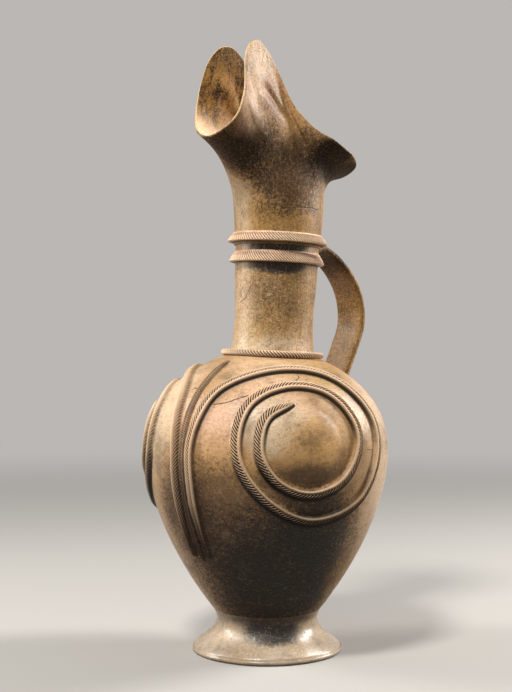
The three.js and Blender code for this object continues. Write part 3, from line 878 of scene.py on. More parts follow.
MOUTH_PATCHES = [
    (on_neck(40, 106), 50, 12, OLIVE, 0.8, 0.5),
    (on_neck(96, 120, 35), 12, 22, WARM_BUFF, 0.7, 0.5),
    (on_neck(-8, 122, 35), 13, 28, PALE_BUFF, 0.65, 0.5),
    ((-48, -20, 158), 30, 22, DARK_BROWN, 0.85, 0.35),
    ((-24, -30, 142), 28, 28, DARK_BROWN, 0.9, 0.3),
    ((-6, -32, 132), 22, 20, BROWN, 0.85, 0.35),
    ((-2, -30, 158), 22, 20, DARK_BROWN, 0.8, 0.4),
    ((-62, -6, 158), 30, 20, BLACKENED_AND_SHADE, 0.85, 0.4),
    ((2, -32, 155), 5, 5, BLACKENED_AND_SHADE, 0.95, 0.4),
    ((-50, -28, 210), 32, 30, PALE_BUFF, 0.35, 0.4),
    # Painted highlight down the bulge of the near wing
    ((-60, -28, 190), 9, 40, PINK_BUFF, 0.5, 0.5),
    ((-33, -24, 198), 14, 20, RED_BROWN, 0.95, 0.6),
    ((-28, -23, 198), 9, 13, BROWN, 0.85, 0.6),
    ((-20, -26, 194), 12, 26, BUFF, 0.5, 0.5),
    # Painted shadow under the flange
    ((14, -44, 160), 20, 11, BLACKENED_AND_SHADE, 0.97, 0.4),
    ((40, -20, 150), 40, 12, BLACKENED_AND_SHADE, 0.95, 0.4),
]

MOUTH_CRACKS = [
    [(62.8, 115.8), (74.1, 116.4), (87.1, 116.5), (109.3, 116.5)],
]

FOOT_PATCHES = [
    # Painted shadow and painted reflection, black at the front of the waist under the body
    ((-26, -33, 23), 24, 10, BLACKENED_AND_SHADE, 1.0, 0.3),
    # Painted highlights on the left and right of the foot's cone
    ((-46, 8, 20), 16, 8, PALE_BUFF, 0.6, 0.6),
    ((12, -46, 20), 16, 8, PALE_BUFF, 0.6, 0.6),
    # Painted shadow along the top of the foot, under the body
    ((-24, -36, 31), 34, 4, DARK_BROWN, 0.9, 0.5),
    ((40, -20, 20), 20, 10, BROWN, 0.25, 0.5),
]

HANDLE_PATCHES = [
    # Painted shade on the inner face of the strap under its top
    ((56, -8, 312), 24, 20, BLACKENED_AND_SHADE, 0.85, 0.5),
    ((80, 0, 300), 16, 30, BROWN, 0.5, 0.5),
]

LEVEL_STREAK = (0.3, 0.3, 1.0)
body_clay = clay(
    "burnished_body_clay", (BUFF, WARM_BUFF), BODY_PATCHES, BODY_CRACKS,
    streak=LEVEL_STREAK, fleck=DUST_GRIT,
)
neck_clay = clay(
    "burnished_neck_clay", (YELLOW_OLIVE, WARM_BUFF), NECK_PATCHES, NECK_CRACKS,
    matrix=NECK, speckle=0.8, gloss=0.42,
)
mouth_clay = clay(
    "fire_clouded_mouth_clay", (BUFF, WARM_BUFF), MOUTH_PATCHES, MOUTH_CRACKS,
    matrix=NECK, inside=True, speckle=0.75, sheen=0.44, gloss=0.2, fleck=OCHRE_GRIT,
    fleck_from=(0.52, 0.61),
)
foot_clay = clay(
    "ashy_foot_clay", (ASH, ASHY_BUFF), FOOT_PATCHES,
    streak=(0.25, 0.25, 1.0), speckle=0.3, sheen=0.27, gloss=0.5,
)
handle_clay = clay(
    "handle_clay", (OLIVE, BUFF), HANDLE_PATCHES, speckle=0.7, sheen=0.44, gloss=0.24,
)
relief_clay = clay(
    "notched_relief_clay", (BUFF, WARM_BUFF), BODY_PATCHES,
    streak=LEVEL_STREAK, relief=True, fleck=DUST_GRIT, sheen=0.42, gloss=0.28,
)
ridge_clay = clay("pale_ridge_clay", (PINK_BUFF, PALE_BUFF), [], relief=True)


# ---- Body, foot and neck --------------------------------------------------


# Unevenness of the pieces: by how much and over what length, in mm, and a seed
BODY_LUMPS = (0.55, 48, 1.3)
NECK_LUMPS = (0.3, 34, 2.6)
MOUTH_LUMPS = (0.55, 26, 3.7)
HANDLE_LUMPS = (0.5, 22, 9.4)


def wall_piece(name, outline, loop, columns, lumps, material):
    """A piece turned from its outline, which is a loop or else starts and ends on the axis."""
    points = [(radius, 0, height) for radius, height in outline]
    amount, size, seed = lumps
    settings = {
        "Columns": columns, "Loop": int(loop), "Unevenness": amount * MM,
        "Lump Size": size * MM, "Seed": seed, "Clay": material,
    }
    return grown(name, points_mesh(name + "_outline", points, closed=False), WALL, settings)


def rounded(centre, radius, start, end, steps):
    """Arc of an outline, by angles in degrees."""
    angles = np.radians(np.linspace(start, end, steps))
    return np.stack([centre[0] + radius * np.cos(angles), centre[1] + radius * np.sin(angles)], 1)


def body_outline():
    floor = FOOT_HEIGHT + 1.4
    inner = inset(body_outer(24), BODY_WALL)[2:]
    lip = BODY_CROWN_RADIUS - 8
    under = [(0, -3.6), (10, -3.5), (20, -3.2), (28, -2.7), (33, -2.1), (37, -1.2)]
    return np.vstack([
        [(radius, FOOT_HEIGHT + above) for radius, above in under],
        body_outer(80),
        [(lip + 3, CROWN_HEIGHT + 2.4), (lip, CROWN_HEIGHT + 3), (lip, CROWN_HEIGHT - 1)],
        inner[::-1],
        [(30, floor + 2), (18, floor + 0.6), (0, floor)],
    ])


# How far, in mm, the plain disc inside the coil swells
DISC_SWELL = 2.6


def domed_disc(mesh):
    """Swells the plain disc inside the coil a little, on both sides."""
    points = vertex_rows(mesh) / MM
    normal = vertex_rows(mesh, "normal")
    wall = body_radius_at(points[:, 2]) - 0.5 * BODY_WALL
    outside = np.hypot(points[:, 0], points[:, 1]) > wall
    for side in (1, -1):
        centre = np.array(body_point(side * SPIRAL_TURN + RELIEF_TURN, SPIRAL_HEIGHT))
        away = np.linalg.norm(points - centre, axis=1) / SPIRAL_INNER_RADIUS
        swell = DISC_SWELL * np.clip(1 - away**2, 0, 1) ** 0.8
        points += (normal * (swell * outside)[:, None]) * math.copysign(1, volume(mesh))
    mesh.vertices.foreach_set("co", (points * MM).ravel())
    mesh.update()


def foot_outline():
    slope = math.radians(50)
    arm = 11
    top = FOOT_HEIGHT - GAP
    outer = bend([
        (FOOT_WAIST_RADIUS, FOOT_WAIST_HEIGHT),
        (FOOT_WAIST_RADIUS, FOOT_WAIST_HEIGHT - 11),
        (FOOT_RADIUS - arm * math.cos(slope), FOOT_LIP_HEIGHT + arm * math.sin(slope)),
        (FOOT_RADIUS, FOOT_LIP_HEIGHT),
    ], 30)
    inner = inset(outer, -FOOT_WALL)[::-1]
    lip = rounded((FOOT_RADIUS - 1.8, 1.9), 1.9, 42, -80, 9)
    inside = FOOT_RADIUS - FOOT_WALL
    waist = FOOT_WAIST_RADIUS - FOOT_WALL
    return np.vstack([
        [(37.0, top + 0.6), (41.6, 33.4), (42.5, 33.1), (41.6, 31.4), (40.7, 29.3)],
        outer[:-2],
        [lip[0] + (-0.9, 0.35), lip[0] + (-0.35, -0.35)],
        lip,
        [(inside, 0)],
        rounded((inside - 0.4, 0.8), 0.8, -90, -170, 3),
        inner[2:],
        [(waist, top - 3.4), (waist + 1, top - 2.6)],
    ])


def neck_outline():
    heights = np.linspace(0, NECK_LENGTH, 40)
    outer = np.stack([neck_radius_at(heights), heights], 1)
    lap = MOUTH_BASE_RADIUS - 0.5 * NECK_WALL - GAP
    top = NECK_LENGTH + NECK_LAP
    bottom = -NECK_SPIGOT_DEPTH
    return np.vstack([
        [(NECK_BASE_RADIUS - NECK_WALL, bottom), (NECK_BASE_RADIUS, bottom)],
        [(NECK_BASE_RADIUS, -6)],
        outer,
        [(lap, NECK_LENGTH), (lap, top), (NECK_TOP_RADIUS - NECK_WALL, top)],
        outer[::-3] - (NECK_WALL, 0),
    ])


def keep_lie(mesh):
    """Keeps the surface's own normals as an attribute, for what is laid on it."""
    lie = mesh.attributes.new("lie", "FLOAT_VECTOR", "POINT")
    lie.data.foreach_set("vector", vertex_rows(mesh, "normal").ravel())


body_mesh = wall_piece("body", body_outline(), False, 320, BODY_LUMPS, body_clay)
domed_disc(body_mesh)
body = finished("jug_body", body_mesh, body_clay, "body")
foot_mesh = wall_piece("foot", foot_outline(), True, 240, BODY_LUMPS, foot_clay)
finished("flared_ring_foot", foot_mesh, foot_clay, "ring_foot")
neck_mesh = wall_piece("neck", neck_outline(), True, 220, NECK_LUMPS, neck_clay)
neck_mesh.transform(NECK)
finished("jug_neck", neck_mesh, neck_clay, "neck_tube")


# ---- Mouth ----------------------------------------------------------------


def rim_stations():
    """Turn, reach, half width, height and slope of the rim, from the lip to the flange's back."""
    lip, low, wide = LIP_REACH, LIP_HEIGHT, OPENING_HALF_WIDTH
    wing, gap, top = WING_REACH, WING_HALF_GAP, WING_HEIGHT
    pinch, waist = PINCH_REACH, PINCH_HALF_GAP
    side, back, brim, tail = FLANGE_HALF_WIDTH, FLANGE_BACK_REACH, FLANGE_HEIGHT, FLANGE_BACK_HEIGHT
    cheek = 0.5 * (low + top)
    return [
        (0, lip - 1, 0, low, 26),
        (11, lip - 1.6, 0.34 * wide, low + 2, 29),
        (23, lip - 4.8, 0.73 * wide, low + 9, 40),
        (34, lip - 8.8, 0.94 * wide, low + 19, 54),
        (44, lip - 11.5, wide, cheek - 6, 66),
        (53, lip - 13.6, 0.97 * wide, cheek + 6, 78),
        (60, lip - 17.5, 0.81 * wide, top - 12.5, 88),
        (66, wing + 9, gap + 2, top - 2.3, 92),
        (71, wing, gap, top, 93),
        (78, 0.5 * (wing + pinch) + 2, 0.5 * (gap + waist) - 0.5, top - 4.5, 93),
        (86, pinch + 3.5, waist - 0.3, top - 13.5, 92),
        (94, pinch - 1.3, waist + 1.5, top - 23, 91),
        (101, pinch - 4.7, waist + 5.5, brim + 42.5, 88),
        (108, pinch - 8.8, waist + 11, brim + 30.5, 84),
        (116, pinch - 14.8, 0.68 * side, brim + 20.5, 76),
        (124, pinch - 22.2, 0.82 * side, brim + 11.5, 62),
        (133, pinch - 30.6, 0.95 * side, brim + 6, 40),
        (144, -0.3 * back, side, brim, 26),
        (155, -0.54 * back, 0.95 * side, brim - 5, 20),
        (167, -0.82 * back, 0.67 * side, tail + 5, 16),
        (180, -back, 0, tail, 16),
    ]


def rim_rows():
    """The rim's stations, with one more past each end."""
    half = np.array(rim_stations(), float)
    mirror = (-1, 1, -1, 1, 1)
    return np.vstack([half[1] * mirror, half, half[-2] * mirror + (360, 0, 0, 0, 0)])


RIM = rim_rows()
MOUTH_COLUMNS = 260
MOUTH_ROWS = 90
# How far the lower edge of the mouth laps down over the neck
MOUTH_LAP = 6.0
# Arms of a column's curve, as shares of its span: at its foot in front and behind, and at the rim
FOOT_ARMS = (0.55, 0.78)
RIM_ARM = 0.29
# Round this turn, in degrees, the wall is filled out sideways, so that wing and flange flow on
PINCH_TURN = 112
PINCH_SPREAD = 18
PINCH_FILL = 10
# Finger marks: from and to, each a turn in degrees and a share of the height; reach and depth
FINGER_MARKS = [
    ((70, 0.67), (77, 0.57), 5.5, 2.4),
    ((-66, 0.76), (-72, 0.6), 5.5, 2.2),
    ((111, 0.46), (112, 0.45), 4.0, 1.2),
    ((58, 0.92), (60, 0.7), 4.0, 0.8),
    ((40, 0.62), (34, 0.5), 5.0, 0.5),
]
# The whole height counts as this many degrees of turn in a finger mark's reach
DEGREES_PER_HEIGHT = 95


def rim_values(angle):
    """Reach, half width, height and slope of the rim at an angle from 0 to 180 degrees."""
    at = int(np.clip(np.searchsorted(RIM[:, 0], angle, side="left"), 2, len(RIM) - 2))
    a, b, c, d = RIM[at - 2 : at + 2]
    width = c[0] - b[0]
    share = (angle - b[0]) / width
    slope_in = (c - a) / (c[0] - a[0]) * width
    slope_out = (d - b) / (d[0] - b[0]) * width
    s2, s3 = share**2, share**3
    value = (2 * s3 - 3 * s2 + 1) * b + (s3 - 2 * s2 + share) * slope_in
    return (value + (-2 * s3 + 3 * s2) * c + (s3 - s2) * slope_out)[1:]


def mouth_column(turn, rows):
    """Points up the outside of the mouth's wall, from the joint to the rim."""
    degrees = math.degrees(turn) % 360
    side = -1 if degrees > 180 else 1
    reach, half, height, slope = rim_values(360 - degrees if side < 0 else degrees)
    slope = math.radians(slope)
    rim = np.array([-reach, -side * half, NECK_LENGTH + height])
    out = np.array([-math.cos(turn), -math.sin(turn), 0])
    start = out * MOUTH_BASE_RADIUS + (0, 0, NECK_LENGTH + GAP)
    span = np.linalg.norm(rim - start)
    rim_out = rim * (1, 1, 0) / np.linalg.norm(rim[:2])
    backward = 0.5 - 0.5 * math.cos(turn)
    spread = (0.01 + 0.04 * backward**2) * span
    rise = start + np.array([0, 0, mix(*FOOT_ARMS, backward) * span]) + out * spread
    arm = RIM_ARM * span
    fall = rim - rim_out * arm * math.cos(slope) - np.array([0, 0, arm * math.sin(slope)])
    away = (180 - abs(180 - degrees) - PINCH_TURN) / PINCH_SPREAD
    fall[1] -= side * PINCH_FILL * math.exp(-(away**2))
    return bend([start, rise, fall, rim], rows)


def ring_noise(points, amount, size, seed):
    """Slow unevenness of a hand-shaped wall, one number for each point."""
    flat = points.reshape(-1, 3) / size + seed
    values = np.array([noise.noise(Vector(p)) for p in flat])
    return (values * amount).reshape(points.shape[:-1])


def grid_normals(grid):
    """Normals of a grid of points that is closed round its first index."""
    around = np.roll(grid, -1, axis=0) - np.roll(grid, 1, axis=0)
    return unit(np.cross(around, np.gradient(grid, axis=1)))


def finger_marks(turns, share):
    """How deep the marks are, by turn and by share of the height."""
    degrees = np.degrees(turns)[:, None]
    deep = 0
    for (turn, height), (turn_to, height_to), reach, depth in FINGER_MARKS:
        away = (degrees - turn + 180) % 360 - 180
        up = (share - height) * DEGREES_PER_HEIGHT
        run = np.array([turn_to - turn, (height_to - height) * DEGREES_PER_HEIGHT])
        along = np.clip((away * run[0] + up * run[1]) / (run @ run), 0, 1)
        gap = np.hypot(away - along * run[0], up - along * run[1])
        deep = deep + depth * np.exp(-((gap / reach) ** 2))
    return deep


def mouth_rings():
    """Rings of the mouth's wall, and which of their points are on its inside."""
    turns = np.arange(MOUTH_COLUMNS) * FULL_TURN / MOUTH_COLUMNS
    outer = np.array([mouth_column(turn, MOUTH_ROWS) for turn in turns])
    share = np.linspace(0, 1, MOUTH_ROWS + 1)[None, :]
    push = ring_noise(outer, *MOUTH_LUMPS) * np.minimum(share * 6, 1)
    push = push - finger_marks(turns, share)
    outer = outer + grid_normals(outer) * push[..., None]
    normal = grid_normals(outer)
    wall = mix(NECK_WALL, LIP_WALL, np.minimum(1.6 * share, 1))[..., None]
    inner = outer - normal * wall
    up = unit(outer[:, -1] - outer[:, -2])
    middle = 0.5 * (outer[:, -1] + inner[:, -1])
    half = 0.5 * LIP_WALL
    lip = np.stack([
        middle + normal[:, -1] * half * math.cos(angle) + up * 0.7 * half * math.sin(angle)
        for angle in np.radians([30, 60, 90, 120, 150])
    ], 1)
    skirt = outer[:, :1] - (0, 0, MOUTH_LAP)
    seat = outer[:, :1] * (1, 1, 0) / MOUTH_BASE_RADIUS * (MOUTH_BASE_RADIUS - 0.5 * NECK_WALL)
    step = seat + (0, 0, NECK_LENGTH + GAP - MOUTH_LAP)
    step_top = seat + (0, 0, NECK_LENGTH + NECK_LAP + GAP)
    rings = np.concatenate([skirt, outer, lip, inner[:, ::-1][:, :-3], step_top, step], axis=1)
    before = 1 + outer.shape[1] + lip.shape[1]
    hollow = np.zeros(rings.shape[:2], dtype=np.float32)
    hollow[:, before - 2 : before] = 0.5
    hollow[:, before:] = 1
    return rings, hollow


mouth_points, mouth_hollow = mouth_rings()
mouth_mesh = grid_mesh("mouth", mouth_points, (True, True))
mouth_marks = mouth_mesh.attributes.new("hollow", "FLOAT", "POINT")
mouth_marks.data.foreach_set("value", mouth_hollow.ravel())
mouth_mesh.transform(NECK)
finished("beaked_mouth", mouth_mesh, mouth_clay, "spouted_mouth", crease=60)


# ---- Handle ---------------------------------------------------------------


# The strap's section: its points, the powers that square it, and how far its faces are dished
HANDLE_POINTS = 40
HANDLE_SQUARENESS = (0.42, 0.75)
HANDLE_DISH = 0.10


def handle_path():
    root = NECK_LENGTH - HANDLE_ROOT_BELOW
    turn = NECK_LENGTH - HANDLE_BEND_BELOW
    foot_world = Vector((HANDLE_FOOT_RADIUS, 0, shoulder_height_at(HANDLE_FOOT_RADIUS))) * MM
    foot_end = NECK.inverted() @ foot_world / MM
    reach = HANDLE_REACH - NECK_OFFSET
    top = bend([
        (NECK_TOP_RADIUS, 0, root),
        (NECK_TOP_RADIUS + 12, 0, root + 3),
        (reach, 0.4 * foot_end.y, turn + 0.67 * (root - turn)),
        (reach, 0.5 * foot_end.y, turn),
    ], 44)
    low = bend([
        (reach, 0.5 * foot_end.y, turn),
        (reach, 0.6 * foot_end.y, turn - 10),
        (reach + 1, foot_end.y, turn - 11),
        tuple(foot_end),
    ], 36)
    start = [(NECK_TOP_RADIUS - 3, 0, root), (NECK_TOP_RADIUS - 1.5, 0, root)]
    end = low[-1] + np.array([[-1, 0, -2], [-2, 0, -4]])
    return np.vstack([start, top, low[1:], end])


def handle_rings():
    path = handle_path()
    run = unit(np.gradient(path, axis=0))
    across = np.array([0.0, 1.0, 0.0])
    out = unit(np.cross(across, run))
    length = np.concatenate([[0], np.cumsum(np.linalg.norm(np.diff(path, axis=0), axis=1))])
    from_root = np.clip(1 - (length - 2) / 11, 0, 1) ** 2
    from_foot = np.clip(1 - (length[-1] - 4 - length) / 12, 0, 1) ** 2
    wide = HANDLE_WIDTH * (1 + 0.14 * from_root + 0.2 * from_foot)
    thick = HANDLE_THICKNESS * (1 + 1.0 * from_root + 1.1 * from_foot)
    angles = np.linspace(0, FULL_TURN, HANDLE_POINTS, endpoint=False)
    a, b = (
        np.sign(wave) * np.abs(wave) ** power * 0.5
        for wave, power in zip((np.cos(angles), np.sin(angles)), HANDLE_SQUARENESS)
    )
    b = b * (1 - HANDLE_DISH * np.cos(np.clip(a * 2, -1, 1) * math.pi / 2))
    rings = (
        path[:, None]
        + across * (a[None, :, None] * wide[:, None, None])
        + out[:, None] * (b[None, :, None] * thick[:, None, None])
    )
    return rings + out[:, None] * ring_noise(rings, *HANDLE_LUMPS)[..., None]


handle_grid = handle_rings()
# Its end faces, by the numbers of their points
numbers = list(range(handle_grid.size // 3))
caps = numbers[:HANDLE_POINTS], numbers[: -HANDLE_POINTS - 1 : -1]
handle_mesh = grid_mesh("handle", handle_grid, (False, True), caps)
handle_mesh.transform(NECK)
finished("broad_strap_handle", handle_mesh, handle_clay, "strap_handle", crease=70)


# ---- Ridges, cord and relief ----------------------------------------------


CIRCLE_POINTS = 180
# How far, in mm, a section reaches into the wall that it is laid on
RING_FLOOR = -1.5
STRIP_FLOOR = -1.2
CENTRE_FLOOR = -1.0
# Settings of what runs right round the neck
ROUND = {"Steps": 1500, "Side": -1.0, "Start Size": 1.0, "End Size": 1.0}


def laid(name, path, section, under, replaced, material, settings, closed=False):
    """A strip laid by the strip tree along a path on another piece; a closed one is on the neck."""
    start = points_mesh(name + "_path", path, closed)
    if closed:
        start.transform(NECK)
    section_points = [(across, 0, up) for across, up in section]
    shape = new_object(name + "_section", points_mesh(name + "_shape", section_points, True))
    given = {"Under": under, "Section": shape, "Clay": material, "Open": 0.0 if closed else 1.0}
    mesh = grown(name, start, STRIP, {**given, **settings})
    discard(shape)
    finished(name, mesh, material, replaced, crease=80)


def circle(radius, height):
    angles = np.linspace(0, FULL_TURN, CIRCLE_POINTS, endpoint=False)
    return [(radius * math.cos(t), radius * math.sin(t), height) for t in angles]


def smooth_cylinder(name, radius, low, high):
    """Plain wall for a ridge or cord to be laid on, in the neck's frame."""
    rings = np.stack([circle(radius, low), circle(radius, high)], 1)
    mesh = grid_mesh(name, rings, (True, False))
    mesh.transform(NECK)
    keep_lie(mesh)
    return new_object(name, mesh)


def ridge_section(inner, h):
    """A steep lower side and a long sloping upper one, from the ridge's edge up its height."""
    edge = RIDGE_REACH + inner
    upper = bend([
        (0.0, edge), (0.3 * h, edge - 0.6), (0.62 * h, inner + 0.5 * RIDGE_REACH), (h, inner),
    ], 28)
    lower = [
        (-0.12 * h, RING_FLOOR), (-0.12 * h, inner + 1), (-0.1 * h, edge - 2.4),
        (-0.07 * h, edge - 0.8),
    ]
    return [*lower, *upper.tolist(), (h, RING_FLOOR)]


def cord_section():
    """The cord's round, and the low step under it."""
    top = COLLAR_HEIGHT
    cord = [
        (0.42 * top + 2.1 * math.sin(t), 5.2 + 2.0 * math.cos(t))
        for t in np.radians(np.linspace(-110, 85, 18))
    ]
    step = [(-9.4, RING_FLOOR), (-9.4, 5.6), (-3.5, 5.8), (-1.2, 5.4), (-0.5, 4.7)]
    return [*step, *cord, (top + 0.2, 1.6), (top + 0.6, RING_FLOOR)]


ridge_joint = NECK_LENGTH - UPPER_RIDGE_BELOW
lower_edge = ridge_joint - RIDGE_SPACING
lower_base = float(neck_radius_at(82.0))
for ridge_name, node, edge, base, tall, seed in (
    ("upper_notched_ridge", "upper_neck_ridge", ridge_joint, MOUTH_BASE_RADIUS + 0.4,
     UPPER_RIDGE_HEIGHT, 2.0),
    ("lower_notched_ridge", "lower_neck_ridge", lower_edge, lower_base, LOWER_RIDGE_HEIGHT, 5.0),
):
    wall = smooth_cylinder(ridge_name + "_wall", base, edge - 20, edge + 20)
    laid(ridge_name, circle(base, edge), ridge_section(GAP, tall), wall, node, ridge_clay, {
        **ROUND, "Notches": 104.0, "Notch Depth": 0.0009, "Ink": 0.7, "Slant": 430.0,
        "Notch From": -0.3 * MM, "Notch To": 0.9 * tall * MM, "Seed": seed,
    }, closed=True)
    discard(wall)

cord_base = NECK_BASE_RADIUS + GAP
wall = smooth_cylinder("cord_wall", cord_base, -30, 30)
cord_path = circle(cord_base, 0)
laid("twisted_collar_cord", cord_path, cord_section(), wall, "collar_cord", ridge_clay, {
    **ROUND, "Notches": 96.0, "Notch Depth": 0.0013, "Ink": 1.0, "Slant": 380.0,
    "Notch From": -0.7 * MM, "Notch To": 4.6 * MM, "Seed": 3.0,
}, closed=True)
discard(wall)

# How far each station of the coil, one for each step of its turn, is outside the inner radius
COIL_SWELL = [
    0, 1, 0, -0.3, 3.2, 9, 14.7, 13.3, 11.7, 15.5, 15.5, 15, 23.8, 31.9, 34.5, 27.4, 23.9, 35.1,
]


def spiral_stations():
    """Turn and height of points along the coil and down the stem."""
    stations = []
    for i, swell in enumerate(COIL_SWELL):
        radius = SPIRAL_INNER_RADIUS + swell
        angle = SPIRAL_START + i * SPIRAL_STEP
        height = SPIRAL_HEIGHT + radius * math.sin(angle)
        across = radius * math.cos(angle) / body_radius_at(height)
        stations.append((SPIRAL_TURN + math.asin(across), height))
    for share in (0, 0.2, 0.4, 0.6, 0.8, 1):
        height = mix(SPIRAL_HEIGHT + STEM_RISE, STEM_BOTTOM, share)
        spread = 1.4 if share == 0 else 1
        stations.append((spread * STEM_HALF_WIDTH / body_radius_at(height), height))
    return stations


def smooth_path(stations, side, step=1.0):
    """Centripetal curve through stations on the body, sampled about every millimetre."""
    knots = [np.array(body_point(turn, height)) for turn, height in stations]
    knots = [2 * knots[0] - knots[1], *knots, 2 * knots[-1] - knots[-2]]
    points = []
    for a, b, c, d in zip(knots, knots[1:], knots[2:], knots[3:]):
        gaps = (np.linalg.norm(q - p) ** 0.5 for p, q in ((a, b), (b, c), (c, d)))
        t0, t1, t2, t3 = np.cumsum([0, *gaps])
        count = max(int(np.linalg.norm(c - b) / step), 2)
        for t in np.linspace(t1, t2, count, endpoint=False):
            ab = mix(a, b, (t - t0) / (t1 - t0))
            bc = mix(b, c, (t - t1) / (t2 - t1))
            cd = mix(c, d, (t - t2) / (t3 - t2))
            abc = mix(ab, bc, (t - t0) / (t2 - t0))
            bcd = mix(bc, cd, (t - t1) / (t3 - t1))
            points.append(mix(abc, bcd, (t - t1) / (t2 - t1)))
    points.append(knots[-2])
    return [body_point(side * math.atan2(-y, -x) + RELIEF_TURN, z) for x, y, z in points]


def strip_section():
    """A steep rolled inner edge, a thin groove and the swelling band that the strokes are cut in.

    Thin skirts on both sides, all but level with the wall, carry the painted shadow beside the
    strip.
    """
    roll = bend([(-3.4, 0.1), (-2.7, 2.6), (-2.0, 3.9), (-0.8, 3.5)], 7)
    band = bend([(-0.1, 3.0), (1.6, 4.4), (5.0, 3.4), (5.8, 0.1)], 21)
    return [
        (SKIRT_INNER, STRIP_FLOOR), (SKIRT_INNER, SKIRT_LIFT),
        *roll.tolist(), (-0.5, 2.7), *band.tolist(),
        (SKIRT_OUTER, SKIRT_LIFT), (SKIRT_OUTER, STRIP_FLOOR), (1.0, STRIP_FLOOR),
    ]


keep_lie(body.data)
for side, spiral_name, node in (
    (1, "near_spiral_relief", "right_spiral"),
    (-1, "far_spiral_relief", "left_spiral"),
):
    spiral_path = smooth_path(spiral_stations(), side)
    laid(spiral_name, spiral_path, strip_section(), body, node, relief_clay, {
        "Steps": 2700, "Side": float(side), "Notches": 300.0, "Notch Depth": 0.0017,
        "Slant": 460.0, "Notch From": 0.0, "Notch To": 5.6 * MM, "Fray": 1.2 * MM,
        "Seed": 4.0 + side, "Wander": 0.00025, "Start Run": 0.02, "Start Size": 0.4,
    })

CENTRE_HALF = [(3.2, CENTRE_FLOOR), (3.2, 0.2), (2.6, 1.5), (1.8, 2.3), (1.0, 2.2), (0.3, 1.6)]
centre_section = [(-across, up) for across, up in CENTRE_HALF] + CENTRE_HALF[::-1]
centre_section.append((0.0, CENTRE_FLOOR))
strip_top = shoulder_height_at(NECK_BASE_RADIUS + 11.6)
centre_stations = [(0, mix(strip_top, STEM_BOTTOM - 3, i / 10)) for i in range(11)]
centre_path = smooth_path(centre_stations, 1)
laid("front_centre_strip", centre_path, centre_section, body, "centre_strip", relief_clay, {
    "Steps": 1000, "Side": 1.0, "Notches": 104.0, "Notch Depth": 0.0007, "Slant": 260.0,
    "Notch From": -2.8 * MM, "Notch To": 2.8 * MM, "Seed": 6.0, "Start Run": 0.1,
    "Start Size": 0.5, "End Run": 0.1, "End Size": 0.3,
})
body.data.attributes.remove(body.data.attributes["lie"])


# ---- Floor, light and camera ----------------------------------------------


FLOOR_REACH = 2200
SWEEP_RADIUS = 900
BACKDROP_HEIGHT = 5000
FLOOR_SEEN = tone(166, 164, 161)
FLOOR_BOUNCE = tone(92, 88, 84)
BACKDROP_SEEN = tone(186, 183, 180)
# Distance from the jug, in metres, over which the floor turns into the even backdrop
BACKDROP_BLEND = (0.35, 2.0)
# The photo's view, and the middle of the jug in metres
VIEW_RIGHT = Vector((0.731, -0.682, 0))
VIEW_DEPTH = Vector((0.682, 0.731, 0))
JUG_MIDDLE = Vector((0, 0, 0.24))
# Name, place to the right of, behind and above the jug's foot in the view, size, watts, colour
LIGHTS = [
    ("top_softbox", (-0.4, -0.8, 1.45), (0.26, 0.26), 27, (1.0, 0.97, 0.92)),
    ("left_softbox", (-1.2, 0.15, 0.85), (0.3, 0.9), 17, (1.0, 0.97, 0.93)),
    ("right_softbox", (1.15, 0.35, 0.9), (0.3, 0.9), 31, (1.0, 0.97, 0.93)),
    ("front_fill", (0.2, -1.9, 0.9), (1.2, 1.2), 1.8, (1.0, 1.0, 1.0)),
]
CAMERA_PLACE = (-0.0088, -1.0136, 0.2416)
LENS = 65.9
SENSOR_HEIGHT = 36
WORLD_COLOUR = (0.9, 0.9, 0.9, 1)
WORLD_STRENGTH = 0.08


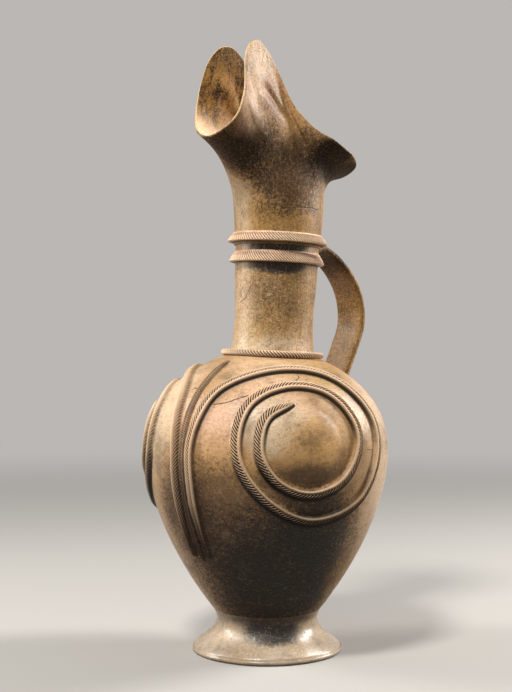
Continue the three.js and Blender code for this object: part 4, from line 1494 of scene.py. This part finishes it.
def floor_finish():
    """Pale where it is seen or mirrored, a darker grey in the light that it throws on the jug."""
    material, tree = new_material("pale_floor")
    rays = add(tree, "ShaderNodeLightPath", out="Is Camera Ray")
    seen = rays + Value(tree, rays.socket.node.outputs["Is Glossy Ray"])
    through = Value(tree, rays.socket.node.outputs["Is Transmission Ray"])
    seen = seen.math("ADD", through, clamp=True)
    colour = mixed(FLOOR_BOUNCE, FLOOR_SEEN, seen)
    sockets = {"Base Color": colour, "Roughness": 0.9, "Specular IOR Level": 0.1}
    plain = add(tree, "ShaderNodeBsdfPrincipled", sockets)
    glow = add(tree, "ShaderNodeEmission", {"Color": BACKDROP_SEEN, "Strength": 1.0})
    x, y, z = add(tree, "ShaderNodeTexCoord", out="Object").parts()
    reach = join_vector(x, y, 0.0).length()
    sockets = [reach.step(*BACKDROP_BLEND) * seen, plain, glow]
    end_material(tree, add(tree, "ShaderNodeMixShader", sockets))
    return material


def studio_bowl():
    """A round floor that curves up into a backdrop on every side."""
    profile = [(0, 0, 0), (FLOOR_REACH, 0, 0)]
    for angle in np.radians(np.linspace(6, 90, 15)):
        reach = FLOOR_REACH + SWEEP_RADIUS * math.sin(angle)
        profile.append((reach, 0, SWEEP_RADIUS * (1 - math.cos(angle))))
    profile.append((FLOOR_REACH + SWEEP_RADIUS, 0, BACKDROP_HEIGHT))
    mesh = points_mesh("studio_bowl_outline", profile, closed=False)
    return grown("studio_bowl", mesh, WALL, {"Columns": 128, "Clay": floor_finish()})


def from_view(right, depth, height):
    return VIEW_RIGHT * right + VIEW_DEPTH * depth + Vector((0, 0, height))


def aimed(name, data, place, direction):
    """An object at a place, looking along a direction."""
    made = new_object(name, data)
    made.location = place
    made.rotation_euler = direction.to_track_quat("-Z", "Y").to_euler()
    return made


floor_mesh = studio_bowl()
floor_mesh.shade_smooth()
new_object("studio_floor", floor_mesh)

for light_name, seen_at, size, power, colour in LIGHTS:
    light = bpy.data.lights.new(light_name, "AREA")
    light.shape = "RECTANGLE"
    light.size, light.size_y = size
    light.energy = power
    light.color = colour
    lamp_place = from_view(*seen_at)
    aimed(light_name, light, lamp_place, JUG_MIDDLE - lamp_place)

world = bpy.data.worlds.new("studio_world")
bpy.context.scene.world = world
world.use_nodes = True
background = world.node_tree.nodes["Background"].inputs
background["Color"].default_value = WORLD_COLOUR
background["Strength"].default_value = WORLD_STRENGTH

camera_data = bpy.data.cameras.new("camera")
camera_data.sensor_fit = "VERTICAL"
camera_data.sensor_height = SENSOR_HEIGHT
camera_data.lens = LENS
camera_data.clip_start = 0.05
camera_data.clip_end = 30
camera = aimed("camera", camera_data, from_view(*CAMERA_PLACE), VIEW_DEPTH)
bpy.context.scene.camera = camera
bpy.context.scene.view_settings.view_transform = "Standard"
